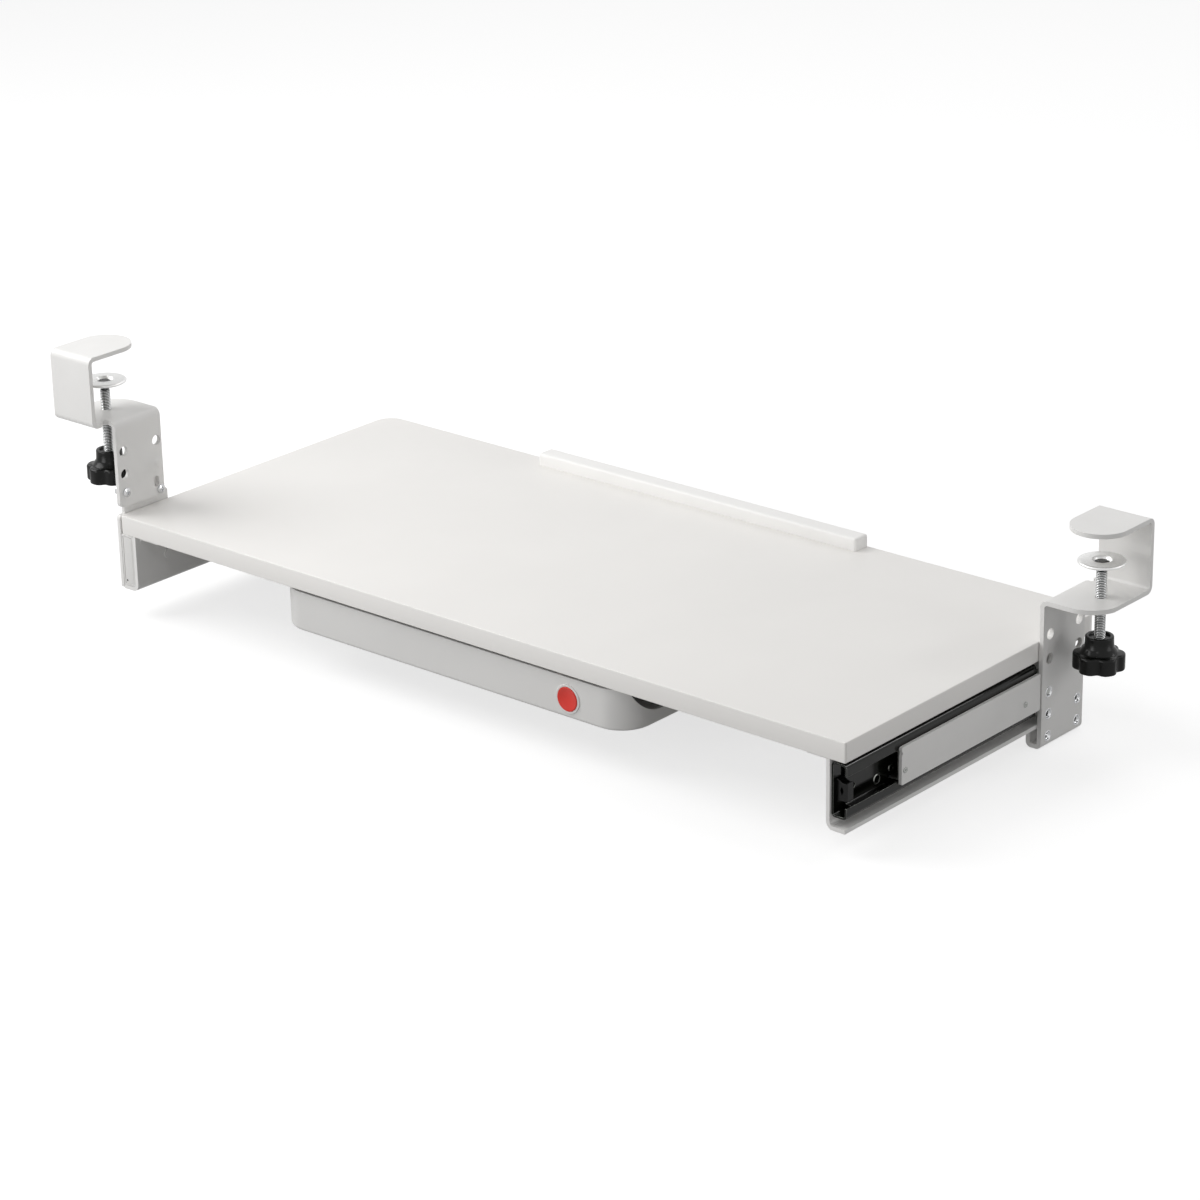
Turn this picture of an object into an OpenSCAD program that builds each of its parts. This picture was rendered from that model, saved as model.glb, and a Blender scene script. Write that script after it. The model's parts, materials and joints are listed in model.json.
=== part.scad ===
/* [Board] */
// Width of the board
board_w = 700; // [620:10:900]
// Depth of the board from its front edge to its back edge
board_d = 300; // [290:5:360]
// Thickness of the board
board_t = 15; // [13:1:20]
// Radius of the two back corners
back_corner_r = 15; // [6:1:30]
// Radius of the front left corner
front_left_r = 3; // [1:0.5:8]
// Radius of the front right corner
front_right_r = 1; // [0.5:0.5:8]

/* [Stop strip] */
// Width of the strip at the back of the board
stop_w = 315; // [200:5:400]
// Depth of the strip
stop_d = 15.5; // [10:0.5:20]
// Height of the strip
stop_h = 10; // [6:0.5:14]
// Radius of the strip's upper edges
stop_edge_r = 2; // [1:0.5:3]
// Shift of the strip and the drawer from the middle of the board
centre_shift = -13.5; // [-30:0.5:30]

/* [Rail brackets] */
// Length of a rail bracket along the slide
rail_len = 262; // [240:1:266]
// Sheet thickness of a rail bracket
rail_t = 3; // [2:0.5:3.5]
// Depth of the left rail bracket below the board
left_rail_drop = 45.3; // [45.2:0.1:60]
// Depth of the right rail bracket below the board
right_rail_drop = 51.2; // [45.2:0.1:52]
// Inside radius of a rail bracket's bend
rail_bend_r = 3; // [1:0.5:4]
// Length of a mounting tab under the board
tab_len = 20; // [14:1:24]
// Width of a mounting tab
tab_w = 16; // [14:1:18]
// Distance of the first and last mounting screws from the bracket's ends
tab_inset = 13; // [9:1:30]
// Thickness of the plastic cap that closes the left rail
cap_t = 3; // [2:0.5:3.5]
// Width of the inset panel's margin on the cap
cap_margin = 1.6; // [1:0.2:3]

/* [Slides] */
// Depth of a slide across its width
slide_depth = 12.7; // [12.5:0.1:14]
// Height of a slide
slide_h = 40; // [38:1:45]
// Gap between the board and the top of a slide
slide_top_gap = 2; // [1:0.5:4]
// Distance of the slide's front end from the board's front edge
slide_inset = 2; // [1:0.5:3]
// Wall of the outer member
outer_wall = 1.5; // [1.2:0.1:1.8]
// Length of the right outer member
slide_len = 219; // [215:1:219]
// Height of the outer member's lips
slide_lip = 8.5; // [6:0.5:8.8]
// Wall of the middle and inner members
member_wall = 1.2; // [0.9:0.1:1.4]
// Length of the middle member
middle_len = 200; // [190:1:205]
// Length of the inner member
inner_len = 215; // [200:1:216]
// Radius of a bearing ball
ball_r = 1.5; // [1.3:0.05:1.6]
// Distance between bearing balls
ball_pitch = 13; // [10:0.5:16]
// Number of balls in a row of the outer cages
outer_ball_count = 8; // [4:1:8]
// Number of balls in a row of the inner cages
inner_ball_count = 4; // [2:1:4]
// Gap between what slides with the tray and what hangs from the desk
side_gap = 0.4; // [0.3:0.05:0.6]
// How far the tray pulls out
tray_travel = 200; // [150:5:200]

/* [Cover bars] */
// Length of a cover bar
bar_len = 163; // [120:0.5:180]
// Gap between the right cover bar and the right hanger
bar_gap = 1; // [0.4:0.1:8]
// Height of a cover bar
bar_h = 27.5; // [24:0.5:30]
// Thickness of a cover bar
bar_t = 2.6; // [2:0.1:3.2]
// Radius of a cover bar's rivet head
rivet_head_r = 2.2; // [1.8:0.1:2.6]

/* [Clamp brackets] */
// Sheet thickness of the clamp brackets
clamp_t = 3.4; // [3:0.1:4]
// Inside radius of a clamp bracket's bends
clamp_bend_r = 2.3; // [1.5:0.1:3]
// Width of the right hanger plate
right_hanger_w = 51.5; // [46:0.5:56]
// Width of the left hanger plate
left_hanger_w = 46.4; // [44:0.2:50]
// Height of the right lower jaw above the board
right_jaw_z = 31.6; // [28:0.2:50]
// Height of the left lower jaw above the board
left_jaw_z = 76; // [74:0.5:90]
// Distance of the right clamp's front edge from the board's front edge
right_clamp_y = 223; // [223:0.5:226]
// Distance of the left clamp's back edge from the board's front edge
left_clamp_y = 45; // [44:0.5:52]
// Distance from the right hanger's free edge to the outside of the web
right_jaw_d = 66; // [64:0.5:80]
// Distance from the left hanger's free edge to the outside of the web
left_jaw_d = 62; // [61:0.5:80]
// Distance from the board's edge to the near edge of the right web
right_web_start = 6.2; // [6.2:0.2:8]
// Distance from the board's edge to the near edge of the left web
left_web_start = 4.5; // [4:0.5:8]
// Width of the web and the top jaw
web_w = 43; // [40:1:60]
// Height of the clamp opening between the jaws
jaw_gap = 50; // [40:1:70]
// Reach of the top jaw from the outside of the web
top_jaw_reach = 56.5; // [44:0.5:60]
// Radius of the lower jaw's nose
nose_r = 24.7; // [20:0.1:30]
// Length of the lower jaw's nose along its front edge
nose_run = 24; // [18:1:24]
// Radius of the holes in the hanger plates
hanger_hole_r = 4.1; // [3.5:0.1:4.5]
// Distance of the hole columns from a hanger's edges
hole_inset = 7; // [6.5:0.5:9]
// Distance from the right lower jaw to the first row of holes
right_first_row = 27.4; // [22:0.1:30]
// Distance from the left lower jaw to the first row of holes
left_first_row = 25; // [22:0.1:30]
// Distance between the upper rows of holes
row_pitch = 18.4; // [16:0.1:20]
// Depth of the right hanger's foot below the board's top
foot_drop = 81.8; // [81:0.1:90]
// Width of the foot under the slide
foot_w = 12.8; // [10:0.2:15]
// Height of the foot's inner wall
foot_h = 11; // [8:0.5:14]
// Distance between the lower rows of holes
low_pitch = 16.8; // [14:0.1:17]
// Height of the left hanger's lower edge above the board
left_hanger_z = 6.5; // [6:0.5:9]

/* [Left side plate] */
// Length of the side plate beside the slide
side_plate_len = 54; // [52:1:60]
// Depth of the side plate's lower edge below the board's top
side_plate_drop = 60; // [58:1:70]
// Height of the side plate's tongue above the board
tongue_h = 22; // [20:1:30]
// Distance of the relief beside the board's corner from the board's front edge
relief_d = 5.4; // [4:0.2:8]
// Height of the side plate's shoulder behind the left hanger
shoulder_h = 9; // [6:0.5:12]

/* [Clamp screws] */
// Radius of the clamp screws
screw_r = 4; // [3.5:0.1:4.5]
// Distance of the screw from the near edge of the web
screw_x = 23.8; // [20:0.2:26]
// Distance of the screw from the outside of the web
screw_reach = 35.4; // [32:0.2:37]
// Height of the right pad's top above the lower jaw
pad_z = 28; // [26:0.5:30]
// How far the left screw is turned down from there
left_turned_down = 4; // [0:0.5:8]
// Radius of the pad
pad_r = 17.2; // [14:0.1:20]
// Thickness of the pad
pad_t = 3.6; // [3:0.1:4.5]
// Radius of the knob across its lobes
knob_r = 18.5; // [16:0.5:22]
// Height of the knob's head
knob_h = 12.5; // [10:0.5:16]
// Radius of the knob's hub
hub_r = 10; // [8:0.5:12]
// Height of the knob's hub
hub_h = 12.3; // [8:0.1:14]
// Distance from the lower jaw's top to the hub's top
hub_drop = 28.8; // [26:0.2:34]
// Number of lobes on the knob
lobe_count = 6; // [5:1:8]

/* [Drawer] */
// Width of the drawer
drawer_w = 343; // [300:1:400]
// Depth of the drawer, front to back
drawer_d = 235; // [200:1:250]
// Height of the drawer
drawer_h = 31.5; // [31:0.5:36]
// Wall of the drawer
drawer_wall = 2; // [1.6:0.1:2.5]
// Radius of the drawer's upright corners
drawer_corner_r = 25; // [15:1:30]
// Radius of the drawer's lower edges
drawer_edge_r = 3; // [2.6:0.1:5]
// Gap between the board and the drawer
drawer_gap = 3.5; // [3.4:0.1:6]
// Distance of the drawer's front behind the board's front edge
drawer_inset = 4; // [3:0.5:10]
// Width of the drawer's running lips
lip_w = 6; // [5:0.5:8]
// Thickness of the running lips
lip_t = 1.8; // [1.4:0.1:2.2]
// Running clearance between a lip and its runner
lip_clear = 0.4; // [0.3:0.05:0.6]
// Sheet thickness of the runners
runner_t = 1.2; // [1:0.1:1.5]
// Length of the finger notch in the right side wall
notch_len = 71.5; // [60:0.5:90]
// Depth of the finger notch
notch_depth = 21; // [16:0.5:22]
// Radius of the notch's corners
notch_r = 30; // [10:1:32]
// Start of the finger notch behind the drawer's front
notch_start = 7.4; // [6:0.2:16]

/* [Push lock] */
// Distance of the button from the drawer's middle
button_x = 117.5; // [60:0.5:120]
// Height of the button above the drawer's bottom
button_h = 15; // [14:0.5:16]
// Radius of the button
button_r = 9.5; // [8:0.5:9.5]
// Width of the pale ring round the button
bezel_w = 1.5; // [1:0.1:2]
// Travel of the button
button_travel = 3; // [2.6:0.1:3]
// Radius of the locking pin
pin_r = 2.5; // [2:0.1:2.5]
// Wire diameter of the return spring
spring_wire = 0.8; // [0.6:0.1:0.9]
// Turns of the return spring
spring_turns = 4; // [3:0.5:4]

/* [Fasteners] */
// Shank radius of the wood screws under the board
wood_screw_r = 1.9; // [1.5:0.1:2.2]
// Head radius of the wood screws
wood_head_r = 3.8; // [3:0.1:4]
// Head height of the wood screws
wood_head_h = 1.9; // [1.5:0.1:2]
// Depth of the wood screws in the board
wood_screw_depth = 11; // [9:0.5:11]
// Shank radius of the machine screws
machine_r = 2; // [1.6:0.1:2.3]
// Head radius of the machine screws
machine_head_r = 3.6; // [3:0.1:3.8]

/* [Hidden] */
$fn = 64;
slop = 1;
fit = 0.05;
seat = 0.1;

board_half = board_w / 2;
under_z = -board_t;
hang_x = board_half + side_gap;

web_outer_x = board_half - slide_depth;
web_inner_x = web_outer_x - rail_t;
tab_screw_inset = 6;
cap_sink = 0.5;
tab_x = web_inner_x - tab_len + tab_screw_inset;
tab_ys = [tab_inset, rail_len / 2, rail_len - tab_inset];

slide_z = under_z - slide_top_gap - slide_h / 2;
outer_back_y = slide_inset + slide_len;
left_outer_y = cap_t + 1;
outer_ball_t = slide_h / 2 - outer_wall - seat - ball_r;
middle_half = outer_ball_t - ball_r - seat;
inner_ball_t = middle_half - member_wall - seat - ball_r;
inner_half = inner_ball_t - ball_r - seat;
rivet_head = 0.8;
middle_s = outer_wall + rivet_head + 0.2;
middle_end = 10;
inner_s = 4.5;
inner_end = slide_depth + side_gap;
ball_s = (middle_s + member_wall + middle_end) / 2;
middle_y = 13;
wave_z = 5.9;
wave_h = 1.3;
wave_turn = 250;
diamond_w = 1.3;
diamond_h = 3;
right_inner_y = right_clamp_y + right_hanger_w - inner_len;
left_inner_y = middle_y;
cage_t = 0.8;
cage_w = 6;
ball_play = 0.1;
outer_run = (outer_ball_count - 1) * ball_pitch;
inner_run = (inner_ball_count - 1) * ball_pitch;
outer_row_y = (middle_y + 0.75 * tray_travel - 0.5 * tray_travel
    + outer_back_y - 0.25 * tray_travel) / 2 - outer_run / 2;
inner_row_y = (right_inner_y + 0.25 * tray_travel
    + middle_y + middle_len - 0.25 * tray_travel) / 2 - inner_run / 2;
cage_end = 5;
rail_rivet_ys = [32, outer_back_y / 2, outer_back_y - 30];
rivet_r = 2;

right_bar_y = right_clamp_y - bar_gap - bar_len;
left_bar_y = side_plate_len + 4;
bar_rivet_front = 3.5;
bar_rivet_back = 18;
bar_rivet_dz = -3.5;

bend_out = clamp_bend_r + clamp_t;
left_face_x = hang_x - clamp_t;
right_hole_ys = [hole_inset + 1.5, right_hanger_w - hole_inset];
left_hole_ys = [hole_inset - 1.5, left_hanger_w - hole_inset];
low_row = right_jaw_z + slide_h - 0.2;
jaw_edge = 2.5;
relief_r = 3.3;
foot_z = -foot_drop - right_jaw_z;
foot_bend_r = 0.8;
left_drop = left_jaw_z - left_hanger_z;
upper_z = jaw_gap + clamp_t;
plate_outer_x = hang_x + clamp_t;
plate_lap = 6;
tongue_start = 1.4;
tongue_end = left_clamp_y - 0.8;
shoulder_end = min(left_clamp_y + 6, side_plate_len - 3);
slot_r = 2.6;
slot_run = 3.6;
slot_y = 7.6;
slot_z = left_hanger_z + 9.6 - left_jaw_z;
bump_h = 1.2;
bump_r = 8.2;
corner_screw = [3.8, left_hanger_z + 4.2 - left_jaw_z];
front_screw = [left_hanger_w - hole_inset, left_hanger_z + 11.4 - left_jaw_z];
nut_t = 2.6;
nut_r = 4;
head_t = 2;

neck_r = 2.5;
screw_taper = 1;
sink_d = 2.2;
sink_r = 6.4;
sink_floor_r = 4.6;
peen_r = 4;
peen_h = 1.2;
pad_under = pad_z - pad_t;
boss_h = 2.4;
boss_r = screw_r + 1.2;
boss_base_r = screw_r + 3.5;
knob_floor = 3;
screw_end = -hub_drop - hub_h - knob_h + knob_floor;
hub_recess = 1.5;
lobe_r = 5;

drawer_top = under_z - drawer_gap;
drawer_bottom = drawer_top - drawer_h;
drawer_floor = drawer_bottom + drawer_wall;
drawer_half = drawer_w / 2;
lip_low = drawer_top - lip_t;
straight_d = drawer_d - 2 * drawer_corner_r;
runner_top = lip_low - lip_clear;
runner_bottom = runner_top - runner_t;
runner_web_x = drawer_half - drawer_wall - lip_w - 1.1;
runner_reach = drawer_half - drawer_wall - 1;
runner_flange = 13;
runner_y = drawer_inset + drawer_corner_r - 2;
runner_end = drawer_inset + drawer_d - 3;
runner_screw_x = runner_web_x - runner_flange / 2 - 0.6;
runner_screw_ys = [runner_y + 14, (runner_y + runner_end) / 2, runner_end - 14];
rear_cut_z = runner_bottom - 0.5;

button_z = drawer_bottom + button_h;
bezel_r = button_r + bezel_w;
sleeve_r = button_r + 0.8;
sleeve_len = 9;
bezel_lip = 0.8;
button_proud = 1.2;
dish_r = 45;
dish_d = 0.8;
button_back = sleeve_len + 0.3;
collar_t = 1.5;
stem_r = 3;
foot_gap = 0.3;
pin_y = 18.5;
stem_end = pin_y + stem_r;
slope_block = 40;
pin_collar_z = 5;
pin_collar_t = 1.5;
pin_collar_r = 4.6;
housing_half = 14;
housing_wall = 1.8;
housing_front = drawer_wall;
housing_back = stem_end + button_travel + 1 + housing_wall;
housing_top = drawer_top - 0.9;
housing_low = drawer_floor + 1;
lock_nut_r = housing_half - housing_wall - 0.3;
lock_nut_t = 3;
spring_r = 3.6;
spring_low = button_z + pin_collar_z + pin_collar_t;
spring_high = housing_top - housing_wall;
striker_t = 2.6;
striker_half = 12;
striker_d = 16;
pin_play = 0.6;
flat_head_r = wood_head_r - 0.4;
flat_head_h = 1.5;
striker_screw_dx = 8.5;
striker_screw_depth = 8;

mid_x = (right_web_start - left_web_start) / 2;
mid_y = (board_d + left_clamp_y - left_jaw_d) / 2;
lift = foot_drop;

white = [0.93, 0.93, 0.92];
shell_white = [0.87, 0.87, 0.86];
zinc = [0.66, 0.67, 0.66];
steel = [0.74, 0.75, 0.76];
black_steel = [0.11, 0.12, 0.10];
black = [0.05, 0.05, 0.05];
red = [0.74, 0.22, 0.17];

// Moves everything from the board's top front edge to the part's origin
module placed() translate([-mid_x, -mid_y, lift]) children();

module on_side(side) {
    if (side > 0) children();
    else mirror([1, 0, 0]) children();
}

module along_y(from, to) translate([0, to, 0]) rotate([90, 0, 0]) linear_extrude(to - from) children();

module along_x(from, to) translate([from, 0, 0]) rotate([90, 0, 90]) linear_extrude(to - from) children();

// Rod along Y from one distance to the other
module rod_y(r, from, to) translate([0, to, 0]) rotate([90, 0, 0]) cylinder(r = r, h = to - from);

// Rod along X from one distance to the other
module rod_x(r, from, to) translate([from, 0, 0]) rotate([0, 90, 0]) cylinder(r = r, h = to - from);

// What a round corner at the origin takes away from a square one
module corner_waste(r) difference() {
    translate([-slop, -slop]) square(r + slop);
    translate([r, r]) circle(r);
}

// Rectangle from the origin with the radii of its four corners, from the origin anticlockwise
module round_rect(w, d, radii) difference() {
    square([w, d]);
    if (radii[0] > 0) corner_waste(radii[0]);
    if (radii[1] > 0) translate([w, 0]) mirror([1, 0]) corner_waste(radii[1]);
    if (radii[2] > 0) translate([w, d]) rotate(180) corner_waste(radii[2]);
    if (radii[3] > 0) translate([0, d]) mirror([0, 1]) corner_waste(radii[3]);
}

// Sheet bent once: its outside corner at the origin, one leg along X and one along Y
module bent_sheet(x_leg, y_leg, t, r) difference() {
    round_rect(x_leg, y_leg, [r + t, 0, 0, 0]);
    translate([t, t]) round_rect(x_leg, y_leg, [r, 0, 0, 0]);
}

// Channel section with its back at X = 0; the mouth is closed to the lips where there are any
module channel(depth, half, wall, r, lip) difference() {
    translate([0, -half]) round_rect(depth, 2 * half, lip > 0 ? [r, r, r, r] : [r, 0, 0, r]);
    translate([wall, wall - half])
        round_rect(lip > 0 ? depth - 2 * wall : depth, 2 * (half - wall), lip > 0
            ? [r / 2, r / 2, r / 2, r / 2] : [r / 2, 0, 0, r / 2]);
    if (lip > 0) translate([depth / 2, lip - half]) square([depth, 2 * (half - lip)]);
}

// Pan head with a cross recess, its bearing face at Z = 0 and the head above it
module pan_head(r, h) difference() {
    intersection() {
        cylinder(r = r, h = h);
        translate([0, 0, h - r * 2.2]) sphere(r * 2.2);
    }
    for (turn = [0, 90]) rotate(turn)
        translate([-r * 0.55, -r * 0.14, h * 0.45]) cube([r * 1.1, r * 0.28, h]);
}

// Screw with its head's bearing face at Z = 0, its shank running down
module screw(r, len, wide, h) {
    pan_head(wide, h);
    translate([0, 0, -len]) cylinder(r = r, h = len + h / 3);
}

module tray_board() color(white) placed() difference() {
    translate([-board_half, 0, under_z]) linear_extrude(board_t)
        round_rect(board_w, board_d, [front_left_r, front_right_r, back_corner_r, back_corner_r]);
    for (side = [-1, 1]) for (y = tab_ys) translate([side * tab_x, y, under_z]) pilot(wood_screw_depth);
    for (side = [-1, 1]) for (y = runner_screw_ys)
        translate([centre_shift + side * runner_screw_x, y, under_z]) pilot(wood_screw_depth);
    for (side = [-1, 1]) translate([centre_shift + button_x + side * striker_screw_dx,
        drawer_inset + pin_y, under_z]) pilot(striker_screw_depth);
}

// Pilot hole for a wood screw, up into the board
module pilot(depth) translate([0, 0, -slop]) cylinder(r = wood_screw_r + seat, h = depth + slop + 0.5);

module stop_strip() color(white) placed()
    translate([centre_shift, board_d - stop_d, 0]) along_x(-stop_w / 2, stop_w / 2)
        round_rect(stop_d, stop_h, [0, 0, stop_edge_r, stop_edge_r]);

function rail_drop(side) = side > 0 ? right_rail_drop : left_rail_drop;

// Side and flange of a rail bracket, with three tabs bent in under the board
module rail_bracket(side) color(white) placed() on_side(side) difference() {
    union() {
        translate([web_inner_x, 0, under_z - rail_drop(side)]) along_y(0, rail_len)
            bent_sheet(board_half - web_inner_x, rail_drop(side), rail_t, rail_bend_r);
        for (y = tab_ys) along_y(y - tab_w / 2, y + tab_w / 2) {
            translate([web_inner_x - tab_len, under_z - rail_t]) square([tab_len + rail_t, rail_t]);
            translate([web_inner_x, under_z - rail_t]) rotate(180) corner_waste(rail_bend_r);
        }
    }
    for (y = tab_ys) translate([tab_x, y, under_z - rail_t - slop])
        cylinder(r = wood_screw_r + seat, h = rail_t + 2 * slop);
    for (y = rail_rivet_ys) translate([0, y, slide_z])
        rod_x(rivet_r + fit, web_inner_x - slop, web_outer_x + slop);
}

module rail_bracket_screws() color(zinc) placed()
    for (side = [-1, 1]) for (y = tab_ys) translate([side * tab_x, y, under_z - rail_t])
        rotate([180, 0, 0]) screw(wood_screw_r, wood_screw_depth + rail_t, wood_head_r, wood_head_h);

// Plastic cap in the front end of the left rail, with a sunk panel
module rail_end_cap() color(shell_white) placed() on_side(-1) {
    cap_h = left_rail_drop - rail_t;
    translate([web_outer_x, 0, under_z - cap_h]) difference() {
        along_y(0, cap_t) round_rect(slide_depth, cap_h, [rail_bend_r, 0, 0, 0]);
        along_y(-slop, cap_sink) translate([cap_margin, cap_margin])
            round_rect(slide_depth - 2 * cap_margin, cap_h - 2 * cap_margin, [3, 1, 1, 1]);
    }
}

// Slide sections are drawn outward from the bracket's web, with the slide's centre line at Z = 0
module slide_place(side) placed() on_side(side) translate([web_outer_x, 0, slide_z]) children();

module outer_member(side) color(black_steel) slide_place(side) difference() {
    along_y(side > 0 ? slide_inset : left_outer_y, outer_back_y)
        channel(slide_depth, slide_h / 2, outer_wall, 3, slide_lip);
    for (y = rail_rivet_ys) translate([0, y, 0]) rod_x(rivet_r + fit, -slop, outer_wall + slop);
}

module outer_member_rivets() color(zinc)
    for (side = [-1, 1]) slide_place(side) for (y = rail_rivet_ys) translate([0, y, 0]) {
        rod_x(rivet_r, -rail_t - rivet_head / 2, outer_wall + rivet_head / 2);
        rod_x(rivet_r * 1.8, outer_wall, outer_wall + rivet_head);
        rod_x(rivet_r * 1.8, -rail_t - 1.2, -rail_t);
    }

// Plastic latch block in the front end of an outer member, with a wavy top and a diamond hole
module slide_bumper(side) color(black) slide_place(side) difference() {
    front = (side > 0 ? slide_inset : left_outer_y) + 3;
    depth = slide_depth - outer_wall - 1.7;
    steps = 12;
    along_y(front, middle_y - 1.2) translate([outer_wall, 0]) polygon(concat(
        [[0, -9], [depth, -8]],
        [for (step = [steps : -1 : 0])
            [depth * step / steps, wave_z + wave_h * cos(step * wave_turn / steps)]]));
    along_y(0, middle_y) translate([outer_wall + depth * 0.5, -1])
        polygon([[-diamond_w, 0], [0, -diamond_h], [diamond_w, 0], [0, diamond_h]]);
}

module middle_member(side) color(black_steel) slide_place(side) difference() {
    along_y(middle_y, middle_y + middle_len) translate([middle_s, 0])
        channel(middle_end - middle_s, middle_half, member_wall, 1.8, 0);
    for (spot = middle_holes) translate([0, middle_y + spot[0], spot[1]])
        rod_x(spot[2], middle_s - slop, middle_s + member_wall + slop);
}

// Distance along the middle member, height and radius of each hole
middle_holes = [[8, -3, 2], [34, -8, 2.8], [50, -5, 2], [middle_len - 50, 0, 3.2], [middle_len - 15, 0, 2.4]];

module inner_member(side) color(zinc) slide_place(side) difference() {
    along_y(inner_start(side), inner_start(side) + inner_len) translate([inner_end, 0]) mirror([1, 0])
        channel(inner_end - inner_s, inner_half, member_wall, 1.2, 0);
    for (y = side > 0 ? right_fix_ys : left_fix_ys) translate([0, y, fix_dz])
        rod_x(machine_r + fit, inner_end - member_wall - slop, inner_end + slop);
    for (y = bar_rivet_ys(side)) translate([0, y, bar_rivet_dz])
        rod_x(rivet_r / 2 + fit, inner_end - member_wall - slop, inner_end + slop);
}

right_fix_ys = [right_clamp_y + right_hole_ys[0]];
left_fix_ys = [left_inner_y + 9, side_plate_len - 10];
fix_dz = right_jaw_z - low_row - slide_z;

function bar_start(side) = side > 0 ? right_bar_y : left_bar_y;
function inner_start(side) = side > 0 ? right_inner_y : left_inner_y;

// Rivets go where a cover bar and its inner member lie over each other
function bar_rivet_ys(side) = [max(bar_start(side), inner_start(side)) + bar_rivet_front,
    min(bar_start(side) + bar_len, inner_start(side) + inner_len) - bar_rivet_back];

// Thin strips between the sliding members that keep the balls apart
module ball_cages(row_y, run, row_t) color(zinc) for (side = [-1, 1]) slide_place(side)
    for (up = [-1, 1]) difference() {
        translate([ball_s - cage_w / 2, row_y - cage_end, up * row_t - cage_t / 2])
            cube([cage_w, run + 2 * cage_end, cage_t]);
        for (y = [row_y : ball_pitch : row_y + run + slop]) translate([ball_s, y, up * row_t - cage_t])
            cylinder(r = ball_r + ball_play, h = 2 * cage_t);
    }

module balls(row_y, run, row_t) color(steel) for (side = [-1, 1]) slide_place(side)
    for (up = [-1, 1]) for (y = [row_y : ball_pitch : row_y + run + slop])
        translate([ball_s, y, up * row_t]) sphere(ball_r);

// Bar on the outside of an inner member, with a hooked front end
module cover_bar(side) color(white) slide_place(side) difference() {
    start = bar_start(side);
    along_x(inner_end, inner_end + bar_t) difference() {
        translate([start, -bar_h / 2]) round_rect(bar_len, bar_h, [1, 1, 1, 1.5]);
        translate([start - 1.2, bar_h / 2 - 4.5]) circle(2.2);
    }
    for (y = bar_rivet_ys(side)) translate([0, y, bar_rivet_dz])
        rod_x(rivet_r / 2 + fit, inner_end - slop, inner_end + bar_t + slop);
}

module cover_bar_rivets() color(steel) for (side = [-1, 1]) slide_place(side)
    for (y = bar_rivet_ys(side)) translate([0, y, bar_rivet_dz]) difference() {
        union() {
            rod_x(rivet_r / 2, inner_end - member_wall - 0.5, inner_end + bar_t + 0.3);
            rod_x(rivet_head_r, inner_end + bar_t, inner_end + bar_t + 0.5);
            rod_x(rivet_head_r, inner_end - member_wall - 0.8, inner_end - member_wall);
        }
        rod_x(rivet_r / 4, inner_end + bar_t - 1.5, inner_end + bar_t + slop);
    }

// A clamp's own frame: X from the tray's middle, Y from the hanger's free edge, Z from the lower jaw's top
module clamp_place(side) placed() {
    if (side > 0) translate([0, right_clamp_y, right_jaw_z]) children();
    else translate([0, left_clamp_y, left_jaw_z]) rotate(180) children();
}

function hanger_w(side) = side > 0 ? right_hanger_w : left_hanger_w;
function jaw_d(side) = side > 0 ? right_jaw_d : left_jaw_d;
function web_x(side) = board_half + (side > 0 ? right_web_start : left_web_start);
function face_x(side) = side > 0 ? hang_x : left_face_x;
function axis(side) = [web_x(side) + screw_x, jaw_d(side) - screw_reach];

// Lower jaw seen from above, with its rounded nose and the relief beside the hanger's bend
module jaw_plan(side) difference() {
    face = face_x(side);
    web_end = web_x(side) + web_w;
    translate([face + bend_out, 0]) square([web_end - face - bend_out, jaw_d(side) - bend_out]);
    difference() {
        translate([web_end - nose_run, -slop]) square([nose_run + slop, nose_r + slop]);
        translate([web_end - nose_run, nose_r]) circle(nose_r);
        translate([0, nose_r]) square([web_end + slop, slop * 2]);
    }
    translate([face, hanger_w(side)]) square([web_x(side) - face, jaw_d(side)]);
    translate([web_x(side), hanger_w(side) + jaw_edge]) circle(relief_r);
}

// Top jaw seen from above, with its round front end
module top_jaw_plan(side) {
    front = jaw_d(side) - top_jaw_reach;
    translate([web_x(side) + web_w / 2, front + web_w / 2]) circle(web_w / 2);
    translate([web_x(side), front + web_w / 2]) square([web_w, top_jaw_reach - web_w / 2 - bend_out]);
}

module clamp_bend() bent_sheet(bend_out + slop, bend_out + slop, clamp_t, clamp_bend_r);

module hanger_sheet(side, drop, low_r) {
    face = face_x(side);
    translate([face, 0, 0]) along_y(0, hanger_w(side)) mirror([0, 1]) clamp_bend();
    along_x(face, face + clamp_t) translate([0, -drop])
        round_rect(hanger_w(side), drop - bend_out, [low_r, low_r, 0, 0]);
}

module jaws(side) {
    back = jaw_d(side);
    translate([0, 0, -clamp_t]) linear_extrude(clamp_t) jaw_plan(side);
    along_x(web_x(side), web_x(side) + web_w) {
        translate([back, -clamp_t]) mirror([1, 0]) clamp_bend();
        translate([back, upper_z]) rotate(180) clamp_bend();
        translate([back - clamp_t, bend_out - clamp_t]) square([clamp_t, upper_z + clamp_t - 2 * bend_out]);
    }
    translate([0, 0, jaw_gap]) linear_extrude(clamp_t) top_jaw_plan(side);
}

module screw_bore(side) translate([axis(side)[0], axis(side)[1], -clamp_t - slop])
    cylinder(r = screw_r + fit, h = clamp_t + 2 * slop);

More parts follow.
